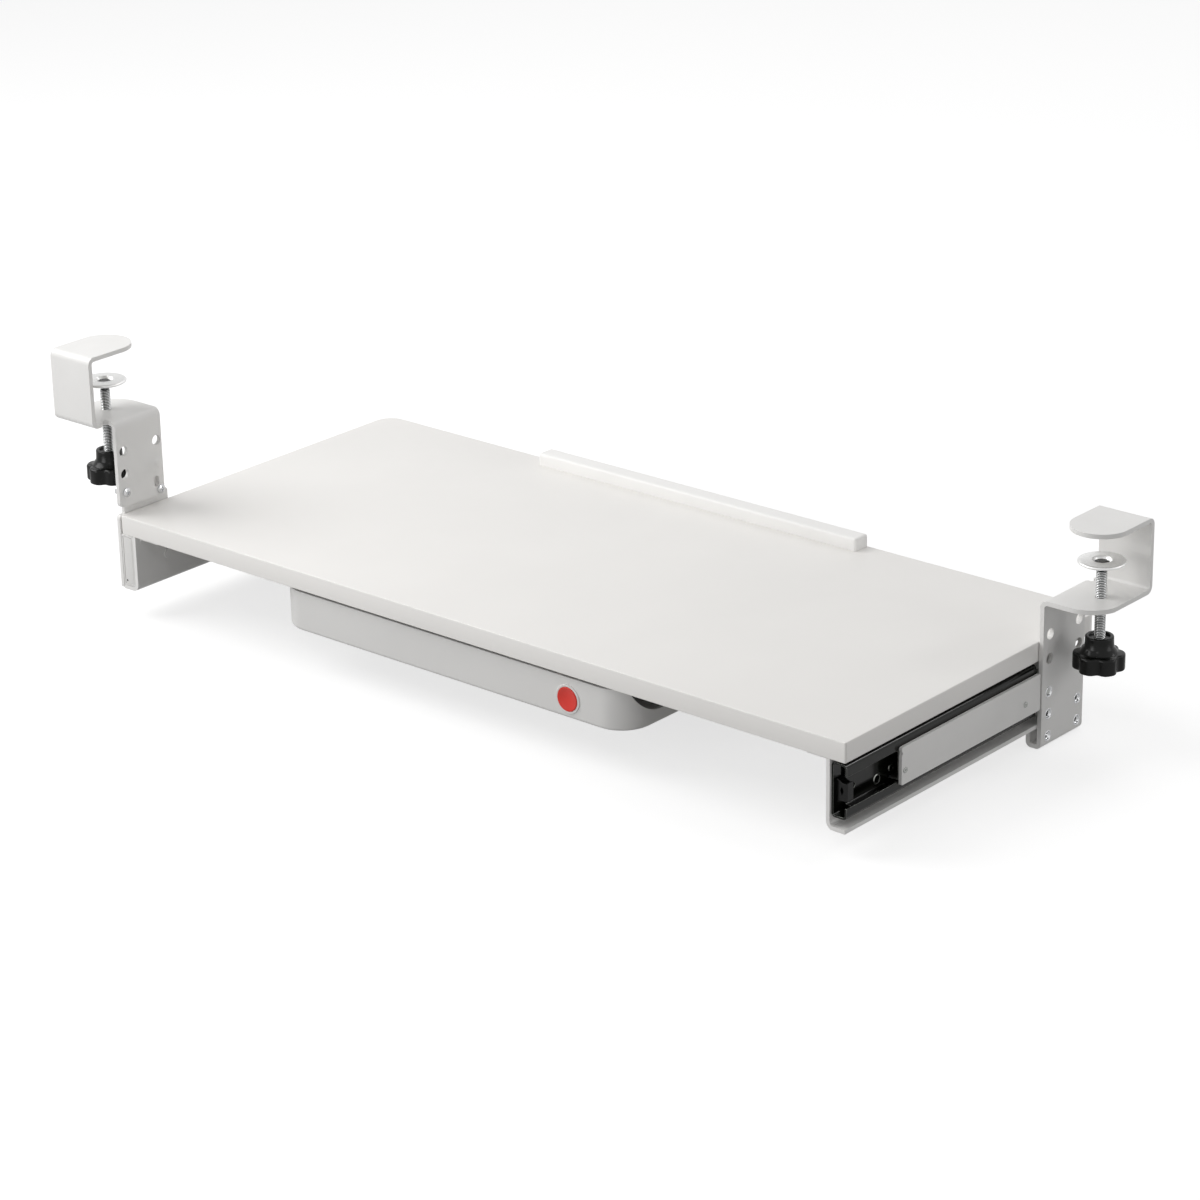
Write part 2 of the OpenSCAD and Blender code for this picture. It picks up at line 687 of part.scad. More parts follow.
// The right clamp goes down past the slide and turns in under it as a foot
module right_clamp_bracket() color(white) clamp_place(1) difference() {
    union() {
        jaws(1);
        hanger_sheet(1, -foot_z - bend_out, 0);
        translate([hang_x + clamp_t, 0, foot_z]) along_y(0, right_hanger_w)
            mirror([1, 0]) bent_sheet(foot_w / 2, bend_out + slop, clamp_t, foot_bend_r);
        translate([hang_x + clamp_t - foot_w, 0, foot_z]) along_y(0, right_hanger_w)
            bent_sheet(foot_w / 2, foot_h, clamp_t, foot_bend_r);
    }
    screw_bore(1);
    for (spot = right_open_holes) translate([0, spot[0], spot[1]])
        rod_x(hanger_hole_r, hang_x - slop, hang_x + clamp_t + slop);
    for (spot = right_nut_spots) translate([0, spot[0], spot[1]])
        rod_x(hanger_hole_r, hang_x - slop, hang_x + clamp_t + slop);
}

right_open_holes = [for (y = right_hole_ys) for (row = [0, 1]) [y, -right_first_row - row * row_pitch]];
right_nut_spots = [for (row = [0 : 2]) for (y = row == 0 ? [right_hole_ys[0]] : right_hole_ys)
    [y, -low_row - row * low_pitch]];

// The left clamp ends above the board; a slot and holes fix it to the side plate
module left_clamp_bracket() color(white) clamp_place(-1) difference() {
    union() {
        jaws(-1);
        hanger_sheet(-1, left_drop, 4);
        translate([left_face_x, left_hole_ys[0], -left_first_row - row_pitch]) rotate([0, -90, 0])
            rotate_extrude() intersection() {
                translate([0, bump_h + seat - bump_r]) circle(bump_r);
                translate([0, -slop]) square([bump_r, bump_h + slop]);
            }
    }
    screw_bore(-1);
    for (spot = [[left_hole_ys[0], -left_first_row], [left_hole_ys[1], -left_first_row],
        [left_hole_ys[1], -left_first_row - row_pitch]])
        translate([0, spot[0], spot[1]]) rod_x(hanger_hole_r, left_face_x - slop, hang_x + slop);
    for (spot = left_screw_spots) translate([0, spot[0], spot[1]])
        rod_x(machine_r + seat, left_face_x - slop, hang_x + slop);
    along_x(left_face_x - slop, hang_x + slop) translate([slot_y, slot_z]) {
        for (up = [0, slot_run]) translate([0, up]) circle(slot_r);
        translate([-slot_r, 0]) square([2 * slot_r, slot_run]);
    }
}

left_screw_spots = [front_screw, corner_screw];

// Plate that carries the left slide and reaches up behind the left hanger
module left_side_plate() color(white) placed() difference() {
    along_x(-plate_outer_x, -hang_x) {
        translate([0, -side_plate_drop]) round_rect(side_plate_len, side_plate_drop - 0.5, [1.5, 4, 4, 3]);
        translate([relief_d, -plate_lap])
            round_rect(shoulder_end - relief_d, shoulder_h + plate_lap, [0, 0, 3, 0]);
        translate([tongue_start, left_hanger_z + seat])
            round_rect(tongue_end - tongue_start, tongue_h - left_hanger_z - seat, [2, 0, 4, 4]);
    }
    for (y = left_fix_ys) translate([0, y, slide_z + fix_dz])
        rod_x(hanger_hole_r, -plate_outer_x - slop, -hang_x + slop);
    for (spot = left_screw_spots) translate([0, left_clamp_y - spot[0], left_jaw_z + spot[1]])
        rod_x(machine_r + seat, -plate_outer_x - slop, -hang_x + slop);
}

module side_plate_screws() color(steel) clamp_place(-1) for (spot = left_screw_spots)
    translate([left_face_x, spot[0], spot[1]]) rotate([0, -90, 0])
        screw(machine_r, plate_outer_x - left_face_x + nut_t, machine_head_r, head_t);

module side_plate_nuts() color(steel) clamp_place(-1) for (spot = left_screw_spots)
    translate([plate_outer_x, spot[0], spot[1]]) rotate([0, 90, 0]) difference() {
        cylinder(r = nut_r, h = nut_t, $fn = 6);
        translate([0, 0, -slop]) cylinder(r = machine_r + fit, h = nut_t + 2 * slop);
    }

// Screws from inside the slide, through the inner member into the clinch nuts
module inner_member_screws() color(zinc) {
    slide_place(1) for (y = right_fix_ys) translate([0, y, fix_dz]) inner_screw();
    slide_place(-1) for (y = left_fix_ys) translate([0, y, fix_dz]) inner_screw();
}

module inner_screw() translate([inner_end - member_wall, 0, 0]) rotate([0, -90, 0])
    screw(machine_r, member_wall + clamp_t - 0.4, machine_head_r, head_t);

// Threaded rings pressed flush into the plates
module clinch_nuts() color(steel) {
    clamp_place(1) for (spot = right_nut_spots) translate([hang_x, spot[0], spot[1]]) clinch_nut();
    slide_place(-1) for (y = left_fix_ys) translate([inner_end, y, fix_dz]) clinch_nut();
}

module clinch_nut() difference() {
    rod_x(hanger_hole_r - fit, 0, clamp_t);
    rod_x(machine_r + fit, -slop, clamp_t + slop);
    translate([clamp_t - 0.9, 0, 0]) rod_x(machine_r + 1, 0, slop);
}

// A clamp screw's own frame: its axis, at the height that it is turned to
module screw_place(side) clamp_place(side)
    translate([axis(side)[0], axis(side)[1], side > 0 ? 0 : -left_turned_down]) children();

// Pad that presses the desk against the top jaw, loose on the screw's neck
module clamp_pad(side) color(steel) screw_place(side) rotate_extrude() difference() {
    union() {
        translate([0, pad_under]) round_rect(pad_r, pad_t, [0, pad_t * 0.45, pad_t * 0.3, 0]);
        polygon([[0, pad_under + pad_t / 2], [0, pad_under - boss_h], [boss_r, pad_under - boss_h],
            [boss_base_r, pad_under], [boss_base_r, pad_under + pad_t / 2]]);
    }
    translate([-slop, pad_under - boss_h - slop]) square([neck_r + seat + slop, pad_t + boss_h + 2 * slop]);
    polygon([[0, pad_z - sink_d], [sink_floor_r, pad_z - sink_d], [sink_r, pad_z], [sink_r, pad_z + slop],
        [0, pad_z + slop]]);
}

// Clamp screw with a neck and a peened head that hold the pad
module clamp_screw(side) color(steel) screw_place(side) {
    shoulder = pad_under - boss_h - seat;
    peen_z = pad_z - sink_d + seat;
    translate([0, 0, screw_end]) cylinder(r = screw_r, h = shoulder - screw_end - screw_taper);
    translate([0, 0, shoulder - screw_taper]) {
        cylinder(r1 = screw_r, r2 = screw_r - screw_taper, h = screw_taper);
        cylinder(r = neck_r, h = peen_z + peen_h / 2 - shoulder + screw_taper);
    }
    translate([0, 0, peen_z]) cylinder(r1 = peen_r, r2 = peen_r - peen_h, h = peen_h);
}

module knob_outline() difference() {
    union() {
        circle(knob_r - lobe_r / 2);
        for (lobe = [0 : lobe_count - 1]) rotate(lobe * 360 / lobe_count + 30)
            translate([knob_r - lobe_r, 0]) circle(lobe_r);
    }
    for (lobe = [0 : lobe_count - 1]) rotate((lobe + 0.5) * 360 / lobe_count + 30)
        translate([knob_r + lobe_r * 0.62, 0]) circle(lobe_r);
}

module knob(side) color(black) screw_place(side) translate([0, 0, -hub_drop - hub_h - knob_h]) difference() {
    union() {
        intersection() {
            linear_extrude(knob_h) knob_outline();
            rotate_extrude() round_rect(knob_r, knob_h, [0, 1.6, 1.2, 0]);
        }
        cylinder(r = hub_r, h = knob_h + hub_h);
        translate([0, 0, knob_h]) cylinder(r1 = hub_r + 1.5, r2 = hub_r, h = 1.5);
    }
    translate([0, 0, knob_floor - seat]) cylinder(r = screw_r + fit, h = knob_h + hub_h);
    translate([0, 0, knob_h + hub_h - hub_recess]) cylinder(r = hub_r - 2.2, h = hub_recess + slop);
}

// The drawer's own frame: X from its middle, Y from its front face
module drawer_place() placed() translate([centre_shift, drawer_inset, 0]) children();

// Wall and floor from a corner's centre outwards, with the lower edge rounded inside and out
module wall_section() difference() {
    round_rect(drawer_corner_r, drawer_h, [0, drawer_edge_r, 0, 0]);
    translate([-slop, drawer_wall]) round_rect(drawer_corner_r - drawer_wall + slop, drawer_h,
        [0, drawer_edge_r - drawer_wall, 0, 0]);
}

module drawer_shell() {
    corner_x = drawer_half - drawer_corner_r;
    translate([-corner_x, drawer_corner_r, 0]) cube([2 * corner_x, straight_d, drawer_wall]);
    for (turn = [0, 180]) translate([0, drawer_d / 2, 0]) rotate(turn) {
        translate([corner_x, -straight_d / 2, 0]) along_y(0, straight_d) wall_section();
        translate([-corner_x, straight_d / 2, 0]) rotate(90) along_y(-2 * corner_x, 0) wall_section();
        translate([corner_x, straight_d / 2, 0]) rotate_extrude(angle = 90) wall_section();
        translate([-corner_x, straight_d / 2, 0]) rotate(90) rotate_extrude(angle = 90) wall_section();
    }
}

// Drawer with running lips, a finger notch, the button's hole and a lowered back for the runners
module storage_drawer() color(shell_white) drawer_place() difference() {
    union() {
        translate([0, 0, drawer_bottom]) drawer_shell();
        for (side = [-1, 1]) on_side(side)
            translate([drawer_half - drawer_wall - lip_w, drawer_corner_r, lip_low])
                cube([lip_w + drawer_wall, straight_d, lip_t]);
    }
    along_x(drawer_half - drawer_corner_r, drawer_half + slop)
        translate([notch_start, drawer_top - notch_depth])
            round_rect(notch_len, notch_depth + slop, [notch_r, notch_r, 0, 0]);
    translate([button_x, 0, button_z]) rod_y(sleeve_r + seat, -slop, drawer_wall + slop);
    translate([-drawer_half + drawer_wall - 0.2, drawer_corner_r + straight_d, rear_cut_z])
        cube([drawer_w - 2 * drawer_wall + 0.4, drawer_corner_r + slop, drawer_h]);
}

// Runner under the board: a flange for its screws, a web, and a ledge under the drawer's lip
module drawer_runner(side) color(zinc) placed() translate([centre_shift, 0, 0]) on_side(side) difference() {
    along_y(runner_y, runner_end) {
        translate([runner_web_x - runner_flange, under_z - runner_t]) square([runner_flange, runner_t]);
        translate([runner_web_x - runner_t, runner_bottom]) square([runner_t, under_z - runner_bottom]);
        translate([runner_web_x - runner_t, runner_bottom])
            square([runner_reach - runner_web_x + runner_t, runner_t]);
    }
    for (y = runner_screw_ys) translate([runner_screw_x, y, under_z - runner_t - slop])
        cylinder(r = wood_screw_r + seat, h = runner_t + 2 * slop);
}

module runner_screws() color(zinc) placed() translate([centre_shift, 0, 0])
    for (side = [-1, 1]) for (y = runner_screw_ys)
        translate([side * runner_screw_x, y, under_z - runner_t]) rotate([180, 0, 0])
            screw(wood_screw_r, wood_screw_depth + runner_t, wood_head_r, wood_head_h);

module button_bezel() color(shell_white) drawer_place() translate([button_x, 0, button_z]) difference() {
    union() {
        rod_y(bezel_r, -bezel_lip, 0);
        rod_y(sleeve_r, -bezel_lip / 2, sleeve_len);
    }
    rod_y(button_r + seat, -bezel_lip - slop, sleeve_len + slop);
}

module bezel_nut() color(steel) drawer_place() translate([button_x, 0, button_z]) difference() {
    rod_y(lock_nut_r, housing_front + housing_wall, housing_front + housing_wall + lock_nut_t);
    rod_y(sleeve_r + fit, 0, sleeve_len + slop);
    for (turn = [0 : 60 : 300]) rotate([0, turn, 0])
        translate([lock_nut_r - 0.8, 0, -1.2]) cube([2, sleeve_len + slop, 2.4]);
}

// Box behind the drawer's front that guides the locking pin
module lock_housing() color(black) drawer_place() translate([button_x, 0, 0]) difference() {
    translate([-housing_half, housing_front, housing_low])
        cube([2 * housing_half, housing_back - housing_front, housing_top - housing_low]);
    translate([-housing_half + housing_wall, housing_front + housing_wall, housing_low - slop])
        cube([2 * (housing_half - housing_wall), housing_back - housing_front - 2 * housing_wall,
            housing_top - housing_low - housing_wall + slop]);
    translate([0, 0, button_z]) rod_y(sleeve_r + seat, 0, housing_front + housing_wall + slop);
    translate([0, pin_y, housing_top - housing_wall - slop])
        cylinder(r = pin_r + seat, h = housing_wall + 2 * slop);
}

// Slope shared by the button's stem and the pin's foot, as a block above it
module above_slope(gap) translate([0, pin_y, gap]) rotate([-45, 0, 0])
    translate([-slope_block / 2, -slope_block, 0]) cube([slope_block, 2 * slope_block, slope_block]);

module lock_button() color(red) drawer_place() translate([button_x, 0, button_z]) difference() {
    union() {
        rod_y(button_r, -button_proud, button_back + slop);
        rod_y(sleeve_r - 0.2, button_back, button_back + collar_t);
        rod_y(stem_r, button_back, stem_end);
    }
    translate([0, dish_d - button_proud - dish_r, 0]) sphere(dish_r);
    intersection() {
        above_slope(0);
        translate([-stem_r - slop, pin_y - stem_r - slop, -slope_block / 2])
            cube([2 * (stem_r + slop), slope_block, slope_block]);
    }
}

// Pin that the button's slope lifts into the plate under the board
module lock_pin() color(steel) drawer_place() translate([button_x, 0, button_z]) {
    intersection() {
        translate([0, pin_y, -stem_r - slop]) cylinder(r = stem_r, h = pin_collar_z + stem_r + 2 * slop);
        above_slope(foot_gap);
    }
    translate([0, pin_y, pin_collar_z]) cylinder(r = pin_collar_r, h = pin_collar_t);
    translate([0, pin_y, pin_collar_z]) cylinder(r = pin_r, h = housing_top - button_z - pin_collar_z);
}

// Point on the spring's wire: an angle in degrees, an angle round the wire and the wire's radius
function wire_point(turn, round) = let(out = spring_r + spring_wire / 2 * cos(round),
    coil_h = spring_high - spring_low - spring_wire,
    rise = spring_low + spring_wire / 2 + coil_h * turn / (360 * spring_turns))
    [out * cos(turn), out * sin(turn), rise + spring_wire / 2 * sin(round)];

// Coil spring that pushes the pin down again
module lock_spring() color(steel) drawer_place() translate([button_x, pin_y, 0]) {
    sides = 8;
    rings = spring_turns * 16;
    points = [for (ring = [0 : rings]) for (k = [0 : sides - 1])
        wire_point(ring * 360 / 16, k * 360 / sides)];
    skin = [for (ring = [0 : rings - 1]) for (k = [0 : sides - 1])
        let(a = ring * sides + k, b = ring * sides + (k + 1) % sides)
            each [[a, b, a + sides], [b, b + sides, a + sides]]];
    first = [for (k = [1 : sides - 2]) [0, k + 1, k]];
    last = [for (k = [1 : sides - 2]) [rings * sides, rings * sides + k, rings * sides + k + 1]];
    polyhedron(points, concat(skin, first, last));
}

// The striker's own frame: the locking pin's axis, at the plate's lower face
module striker_place() placed()
    translate([centre_shift + button_x, drawer_inset + pin_y, under_z - striker_t]) children();

// Plate under the board with the hole that takes the locking pin
module lock_striker() color(zinc) striker_place() difference() {
    translate([-striker_half, -striker_d / 2, 0]) linear_extrude(striker_t)
        round_rect(2 * striker_half, striker_d, [2, 2, 2, 2]);
    translate([0, 0, -slop]) cylinder(r = pin_r + pin_play, h = striker_t + 2 * slop);
    for (side = [-1, 1]) translate([side * striker_screw_dx, 0, 0]) {
        translate([0, 0, -slop]) cylinder(r = wood_screw_r + seat, h = striker_t + 2 * slop);
        translate([0, 0, -seat])
            cylinder(r1 = flat_head_r + 2 * seat, r2 = wood_screw_r + 2 * seat, h = flat_head_h + seat);
    }
}

module striker_screws() color(steel) striker_place()
    for (side = [-1, 1]) translate([side * striker_screw_dx, 0, 0]) {
        cylinder(r1 = flat_head_r, r2 = wood_screw_r, h = flat_head_h);
        cylinder(r = wood_screw_r, h = striker_t + striker_screw_depth);
    }

left_clamp_bracket();
right_clamp_bracket();
left_side_plate();
side_plate_screws();
side_plate_nuts();
inner_member(-1);  // left_inner_member
inner_member(1);  // right_inner_member
cover_bar(-1);  // left_cover_bar
cover_bar(1);  // right_cover_bar
cover_bar_rivets();
inner_member_screws();
clinch_nuts();
tray_board();
stop_strip();
rail_bracket(-1);  // left_rail_bracket
rail_bracket(1);  // right_rail_bracket
rail_bracket_screws();
rail_end_cap();
outer_member(-1);  // left_outer_member
outer_member(1);  // right_outer_member
outer_member_rivets();
slide_bumper(-1);  // left_slide_bumper
slide_bumper(1);  // right_slide_bumper
drawer_runner(-1);  // left_drawer_runner
drawer_runner(1);  // right_drawer_runner
runner_screws();
lock_striker();
striker_screws();
middle_member(-1);  // left_middle_member
middle_member(1);  // right_middle_member
ball_cages(outer_row_y, outer_run, outer_ball_t);  // outer_ball_cages
balls(outer_row_y, outer_run, outer_ball_t);  // outer_balls
ball_cages(inner_row_y, inner_run, inner_ball_t);  // inner_ball_cages
balls(inner_row_y, inner_run, inner_ball_t);  // inner_balls
storage_drawer();
button_bezel();
bezel_nut();
lock_housing();
lock_button();
lock_pin();
lock_spring();
clamp_pad(-1);  // left_clamp_pad
clamp_pad(1);  // right_clamp_pad
clamp_screw(-1);  // left_clamp_screw
clamp_screw(1);  // right_clamp_screw
knob(-1);  // left_knob
knob(1);  // right_knob
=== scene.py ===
# Clamp-on keyboard tray with a storage drawer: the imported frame, dressed for the render
import json
import math

import bmesh
import bpy
import numpy as np
from mathutils import Matrix, Vector


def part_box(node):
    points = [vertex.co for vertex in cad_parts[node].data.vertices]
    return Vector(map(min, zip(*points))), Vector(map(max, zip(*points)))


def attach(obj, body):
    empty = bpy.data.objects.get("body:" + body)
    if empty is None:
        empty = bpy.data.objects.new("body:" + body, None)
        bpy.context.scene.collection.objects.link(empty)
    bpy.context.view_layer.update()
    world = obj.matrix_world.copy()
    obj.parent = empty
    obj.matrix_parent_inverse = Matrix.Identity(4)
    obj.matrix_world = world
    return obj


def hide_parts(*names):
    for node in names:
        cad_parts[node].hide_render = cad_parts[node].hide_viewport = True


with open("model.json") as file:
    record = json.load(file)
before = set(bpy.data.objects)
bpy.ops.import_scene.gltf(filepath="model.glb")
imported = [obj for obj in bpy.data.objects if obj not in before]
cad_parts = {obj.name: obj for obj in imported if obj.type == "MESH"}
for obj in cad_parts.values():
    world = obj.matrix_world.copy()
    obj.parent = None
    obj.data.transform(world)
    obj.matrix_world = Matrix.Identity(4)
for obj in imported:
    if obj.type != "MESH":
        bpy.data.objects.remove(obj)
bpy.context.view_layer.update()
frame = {"nodes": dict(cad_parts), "record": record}
record = frame["record"]
bodyOfNode = {node: body for body, nodes in record["behaviour"]["bodies"].items() for node in nodes}
slotOfNode = {part["node"]: part["material_slot"] for part in record["subparts"]}
print("stage: frame loaded,", len(frame["nodes"]), "nodes")

# Camera at the photograph's angle: metres and degrees in the part's frame
cameraLook = {
    "place": (1.697991, -1.929283, 1.0732415),
    "yaw": 41.1028,        # turned left from looking along +Y
    "pitch": 21.6540,      # looking down
    "roll": -1.1323,
    "lens": 111.7455,
    "sensor": 36.0,
    "clipEnd": 30.0,
}


def placeCamera(look):
    # Yaw and pitch give the way forward; roll turns right and up about it
    yaw, pitch, roll = (math.radians(look[key]) for key in ("yaw", "pitch", "roll"))
    forward = Vector((-math.sin(yaw) * math.cos(pitch), math.cos(yaw) * math.cos(pitch),
                      -math.sin(pitch)))
    right = Vector((math.cos(yaw), math.sin(yaw), 0.0))
    up = right.cross(forward)
    rolledRight = math.cos(roll) * right + math.sin(roll) * up
    rolledUp = math.cos(roll) * up - math.sin(roll) * right
    data = bpy.data.cameras.new("trayCamera")
    data.lens = look["lens"]
    data.sensor_width = look["sensor"]
    data.clip_end = look["clipEnd"]
    camera = bpy.data.objects.new("trayCamera", data)
    camera.matrix_world = Matrix.Translation(look["place"]) @ Matrix(
        (rolledRight, rolledUp, -forward)).transposed().to_4x4()
    bpy.context.scene.collection.objects.link(camera)
    bpy.context.scene.camera = camera


placeCamera(cameraLook)
print("stage: camera placed")


# Materials

def linear(hexColour):
    # sRGB hex words to linear light, by the usual curve
    parts = [int(hexColour[k:k + 2], 16) / 255 for k in (1, 3, 5)]
    return [p / 12.92 if p <= 0.04045 else ((p + 0.055) / 1.055) ** 2.4 for p in parts] + [1.0]


noiseSpan = (0.3, 0.7)     # nearly all of a noise texture's values lie between these


# Short hand for a material's nodes: add one, join two sockets
class NodeTree:
    def __init__(self, name):
        self.material = bpy.data.materials.new(name)
        self.material.use_nodes = True
        self.nodes = self.material.node_tree.nodes
        self.links = self.material.node_tree.links
        self.shader = self.nodes["Principled BSDF"]
        self.spot = self.add("ShaderNodeTexCoord").outputs["Object"]

    def add(self, kind, **inputs):
        node = self.nodes.new(kind)
        for key, value in inputs.items():
            node.inputs[key.replace("_", " ")].default_value = value
        return node

    def join(self, start, end):
        self.links.new(start, end)

    def stretched(self, scale):
        mapping = self.add("ShaderNodeMapping", Scale=scale)
        self.join(self.spot, mapping.inputs["Vector"])
        return mapping.outputs["Vector"]

    def noise(self, scale, detail=3.0, rough=0.55, source=None):
        node = self.add("ShaderNodeTexNoise", Scale=scale, Detail=detail, Roughness=rough)
        self.join(source or self.spot, node.inputs["Vector"])
        return node.outputs["Fac"]

    def ramp(self, source, low, high, dark, pale):
        node = self.nodes.new("ShaderNodeValToRGB")
        node.color_ramp.elements[0].position = low
        node.color_ramp.elements[1].position = high
        node.color_ramp.elements[0].color = dark
        node.color_ramp.elements[1].color = pale
        self.join(source, node.inputs["Fac"])
        return node.outputs["Color"]

    def spread(self, source, low, high):
        node = self.add("ShaderNodeMapRange", From_Min=noiseSpan[0], From_Max=noiseSpan[1],
                        To_Min=low, To_Max=high)
        self.join(source, node.inputs["Value"])
        return node.outputs["Result"]

    def bump(self, height, strength, distance):
        node = self.add("ShaderNodeBump", Strength=strength, Distance=distance)
        self.join(height, node.inputs["Height"])
        return node.outputs["Normal"]

    def attribute(self, name):
        # A number that the mesh carries at its points
        node = self.nodes.new("ShaderNodeAttribute")
        node.attribute_name = name
        return node.outputs["Fac"]


def shade(hexColour, factor):
    return [part * factor for part in linear(hexColour)[:3]] + [1.0]


# Per finish: the record's colour and how far clouds dim it, roughness range, scales of the clouds and
# the grain, the grain's depth in metres
finishes = {
    "white_laminate": {"colour": "#F0EEEB", "tint": 0.975, "rough": (0.34, 0.42), "cloud": 9.0,
                       "grain": 650.0, "depth": 0.00003, "specular": 0.42},
    "white_trim": {"colour": "#F3F2F0", "tint": 0.98, "rough": (0.36, 0.44), "cloud": 14.0,
                   "grain": 900.0, "depth": 0.00003, "specular": 0.45},
    "white_steel": {"colour": "#EBEAE8", "tint": 0.965, "rough": (0.30, 0.38), "cloud": 30.0,
                    "grain": 780.0, "depth": 0.00006, "specular": 0.5},
    "drawer_plastic": {"colour": "#DFDEDC", "tint": 0.97, "rough": (0.38, 0.47), "cloud": 12.0,
                       "grain": 1300.0, "depth": 0.00005, "specular": 0.42},
    "black_plastic": {"colour": "#0B0C0A", "tint": 0.6, "rough": (0.18, 0.28), "cloud": 60.0,
                      "grain": 1500.0, "depth": 0.00002, "specular": 0.24},
    "red_plastic": {"colour": "#DE2D1D", "tint": 0.9, "rough": (0.28, 0.36), "cloud": 80.0,
                    "grain": 1400.0, "depth": 0.00003, "specular": 0.5},
}
coatLook = {"detail": 2.0, "glossCloud": 12, "bump": 0.35}     # glossCloud: times finer than cloud


def coatedFinish(name):
    # A coat or plastic: slow clouds in the colour, finer ones in the gloss, fine grain in the bump
    look = finishes[name]
    tree = NodeTree(name)
    cloud = tree.noise(look["cloud"], coatLook["detail"])
    tint = shade(look["colour"], look["tint"])
    tree.join(tree.ramp(cloud, *noiseSpan, tint, linear(look["colour"])),
              tree.shader.inputs["Base Color"])
    grain = tree.noise(look["grain"], coatLook["detail"])
    gloss = tree.noise(look["cloud"] * coatLook["glossCloud"])
    tree.join(tree.spread(gloss, *look["rough"]), tree.shader.inputs["Roughness"])
    tree.join(tree.bump(grain, coatLook["bump"], look["depth"]), tree.shader.inputs["Normal"])
    tree.shader.inputs["Specular IOR Level"].default_value = look["specular"]
    return tree.material


# Per metal: palest and darkest streak, roughness range, scale along each axis, bump depth in metres
metals = {
    "zinc_steel": {"pale": "#B9BBB8", "dark": "#9A9C99", "rough": (0.30, 0.44),
                   "brush": (40.0, 4.0, 900.0), "depth": 0.00004},
    # Bare steel on rubbed edges, lighter than the black coat; it also paints highlight lines and rims
    "rubbed_steel_and_highlight": {"pale": "#A6A8A3", "dark": "#70726D", "rough": (0.26, 0.36),
                     "brush": (500.0, 500.0, 500.0), "depth": 0.00001},
    "pad_steel": {"pale": "#EFEFEE", "dark": "#E2E2E1", "rough": (0.36, 0.40),
                  "brush": (700.0, 700.0, 700.0), "depth": 0.00001},
    "bright_steel": {"pale": "#DADBDC", "dark": "#CDCED0", "rough": (0.10, 0.15),
                     "brush": (240.0, 240.0, 160.0), "depth": 0.00001},
}
streakLook = {"detail": 4.0, "rough": 0.6, "bump": 0.25}


def metalFinish(name):
    # Plated steel: streaks along the rolling direction in colour, roughness and bump
    look = metals[name]
    tree = NodeTree(name)
    brushed = tree.stretched(look["brush"])
    streak = tree.noise(1.0, streakLook["detail"], streakLook["rough"], brushed)
    tree.join(tree.ramp(streak, *noiseSpan, linear(look["dark"]), linear(look["pale"])),
              tree.shader.inputs["Base Color"])
    tree.join(tree.spread(streak, *look["rough"]), tree.shader.inputs["Roughness"])
    tree.join(tree.bump(streak, streakLook["bump"], look["depth"]), tree.shader.inputs["Normal"])
    tree.shader.inputs["Metallic"].default_value = 1.0
    return tree.material


blackCoat = {"base": "#080907", "cloud": "#12140F", "from": 0.35, "to": 0.7, "rough": (0.12, 0.19),
             "streak": (300.0, 12.0, 300.0), "detail": 3.0, "streakRough": 0.5,
             "grain": 900.0, "grainDetail": 2.0, "bump": 0.2, "depth": 0.00002, "specular": 0.30}


def blackSteelFinish(look):
    # Thin black electrocoat: drawn streaks along the slide in colour and gloss, with a fine grain
    tree = NodeTree("black_steel")
    drawn = tree.stretched(look["streak"])
    streak = tree.noise(1.0, look["detail"], look["streakRough"], drawn)
    tree.join(tree.ramp(streak, look["from"], look["to"], linear(look["base"]), linear(look["cloud"])),
              tree.shader.inputs["Base Color"])
    tree.join(tree.spread(streak, *look["rough"]), tree.shader.inputs["Roughness"])
    grain = tree.noise(look["grain"], look["grainDetail"])
    tree.join(tree.bump(grain, look["bump"], look["depth"]), tree.shader.inputs["Normal"])
    tree.shader.inputs["Specular IOR Level"].default_value = look["specular"]
    return tree.material


# crest is the steel's own colour; grooveShade is painted shade, darker the deeper a point sits in the
# thread
screwSteel = {"crest": "#E6E7E7", "grooveShade": "#5E5F60", "from": 0.12, "to": 0.85,
              "rough": (0.22, 0.28), "grain": 300.0}


def screwSteelFinish(look):
    # Rolled thread: bright crests and grooves darkened by painted shade, by the depth that each point
    # carries
    tree = NodeTree("threadSteel")
    depth = tree.attribute("grooveShade")
    tree.join(tree.ramp(depth, look["from"], look["to"], linear(look["crest"]), linear(look["grooveShade"])),
              tree.shader.inputs["Base Color"])
    tree.join(tree.spread(tree.noise(look["grain"]), *look["rough"]), tree.shader.inputs["Roughness"])
    tree.shader.inputs["Metallic"].default_value = 1.0
    return tree.material


materials = {name: coatedFinish(name) for name in finishes}
materials.update({name: metalFinish(name) for name in metals})
materials["black_steel"] = blackSteelFinish(blackCoat)
threadSteel = screwSteelFinish(screwSteel)
print("stage: materials made")


# Meshes

sharpAngle = 32.0      # degrees between two faces past which their edge is shaded sharp
sameSpot = 1e-7        # metres within which two points of a made mesh are one
noLength = 1e-8        # metres under which one of its edges is dropped


def newPiece(name, mesh, node, material=None, replaces=True, finish=None):
    # Puts a mesh in the scene as a piece that rides, replaces and takes its slot as one CAD node does;
    # material names another of the record's slots, and finish is a look that the record has no slot for
    piece = bpy.data.objects.new(name, mesh)
    bpy.context.scene.collection.objects.link(piece)
    slotName = material or slotOfNode[node]
    mesh.materials.clear()
    mesh.materials.append(finish or materials[slotName])
    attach(piece, bodyOfNode[node])
    if replaces:
        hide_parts(node)
    return piece


def smoothed(mesh, angle):
    # Smooth shading, kept sharp where faces meet at more than the angle
    mesh.polygons.foreach_set("use_smooth", np.ones(len(mesh.polygons), bool))
    mesh.set_sharp_from_angle(angle=math.radians(angle))
    mesh.update()


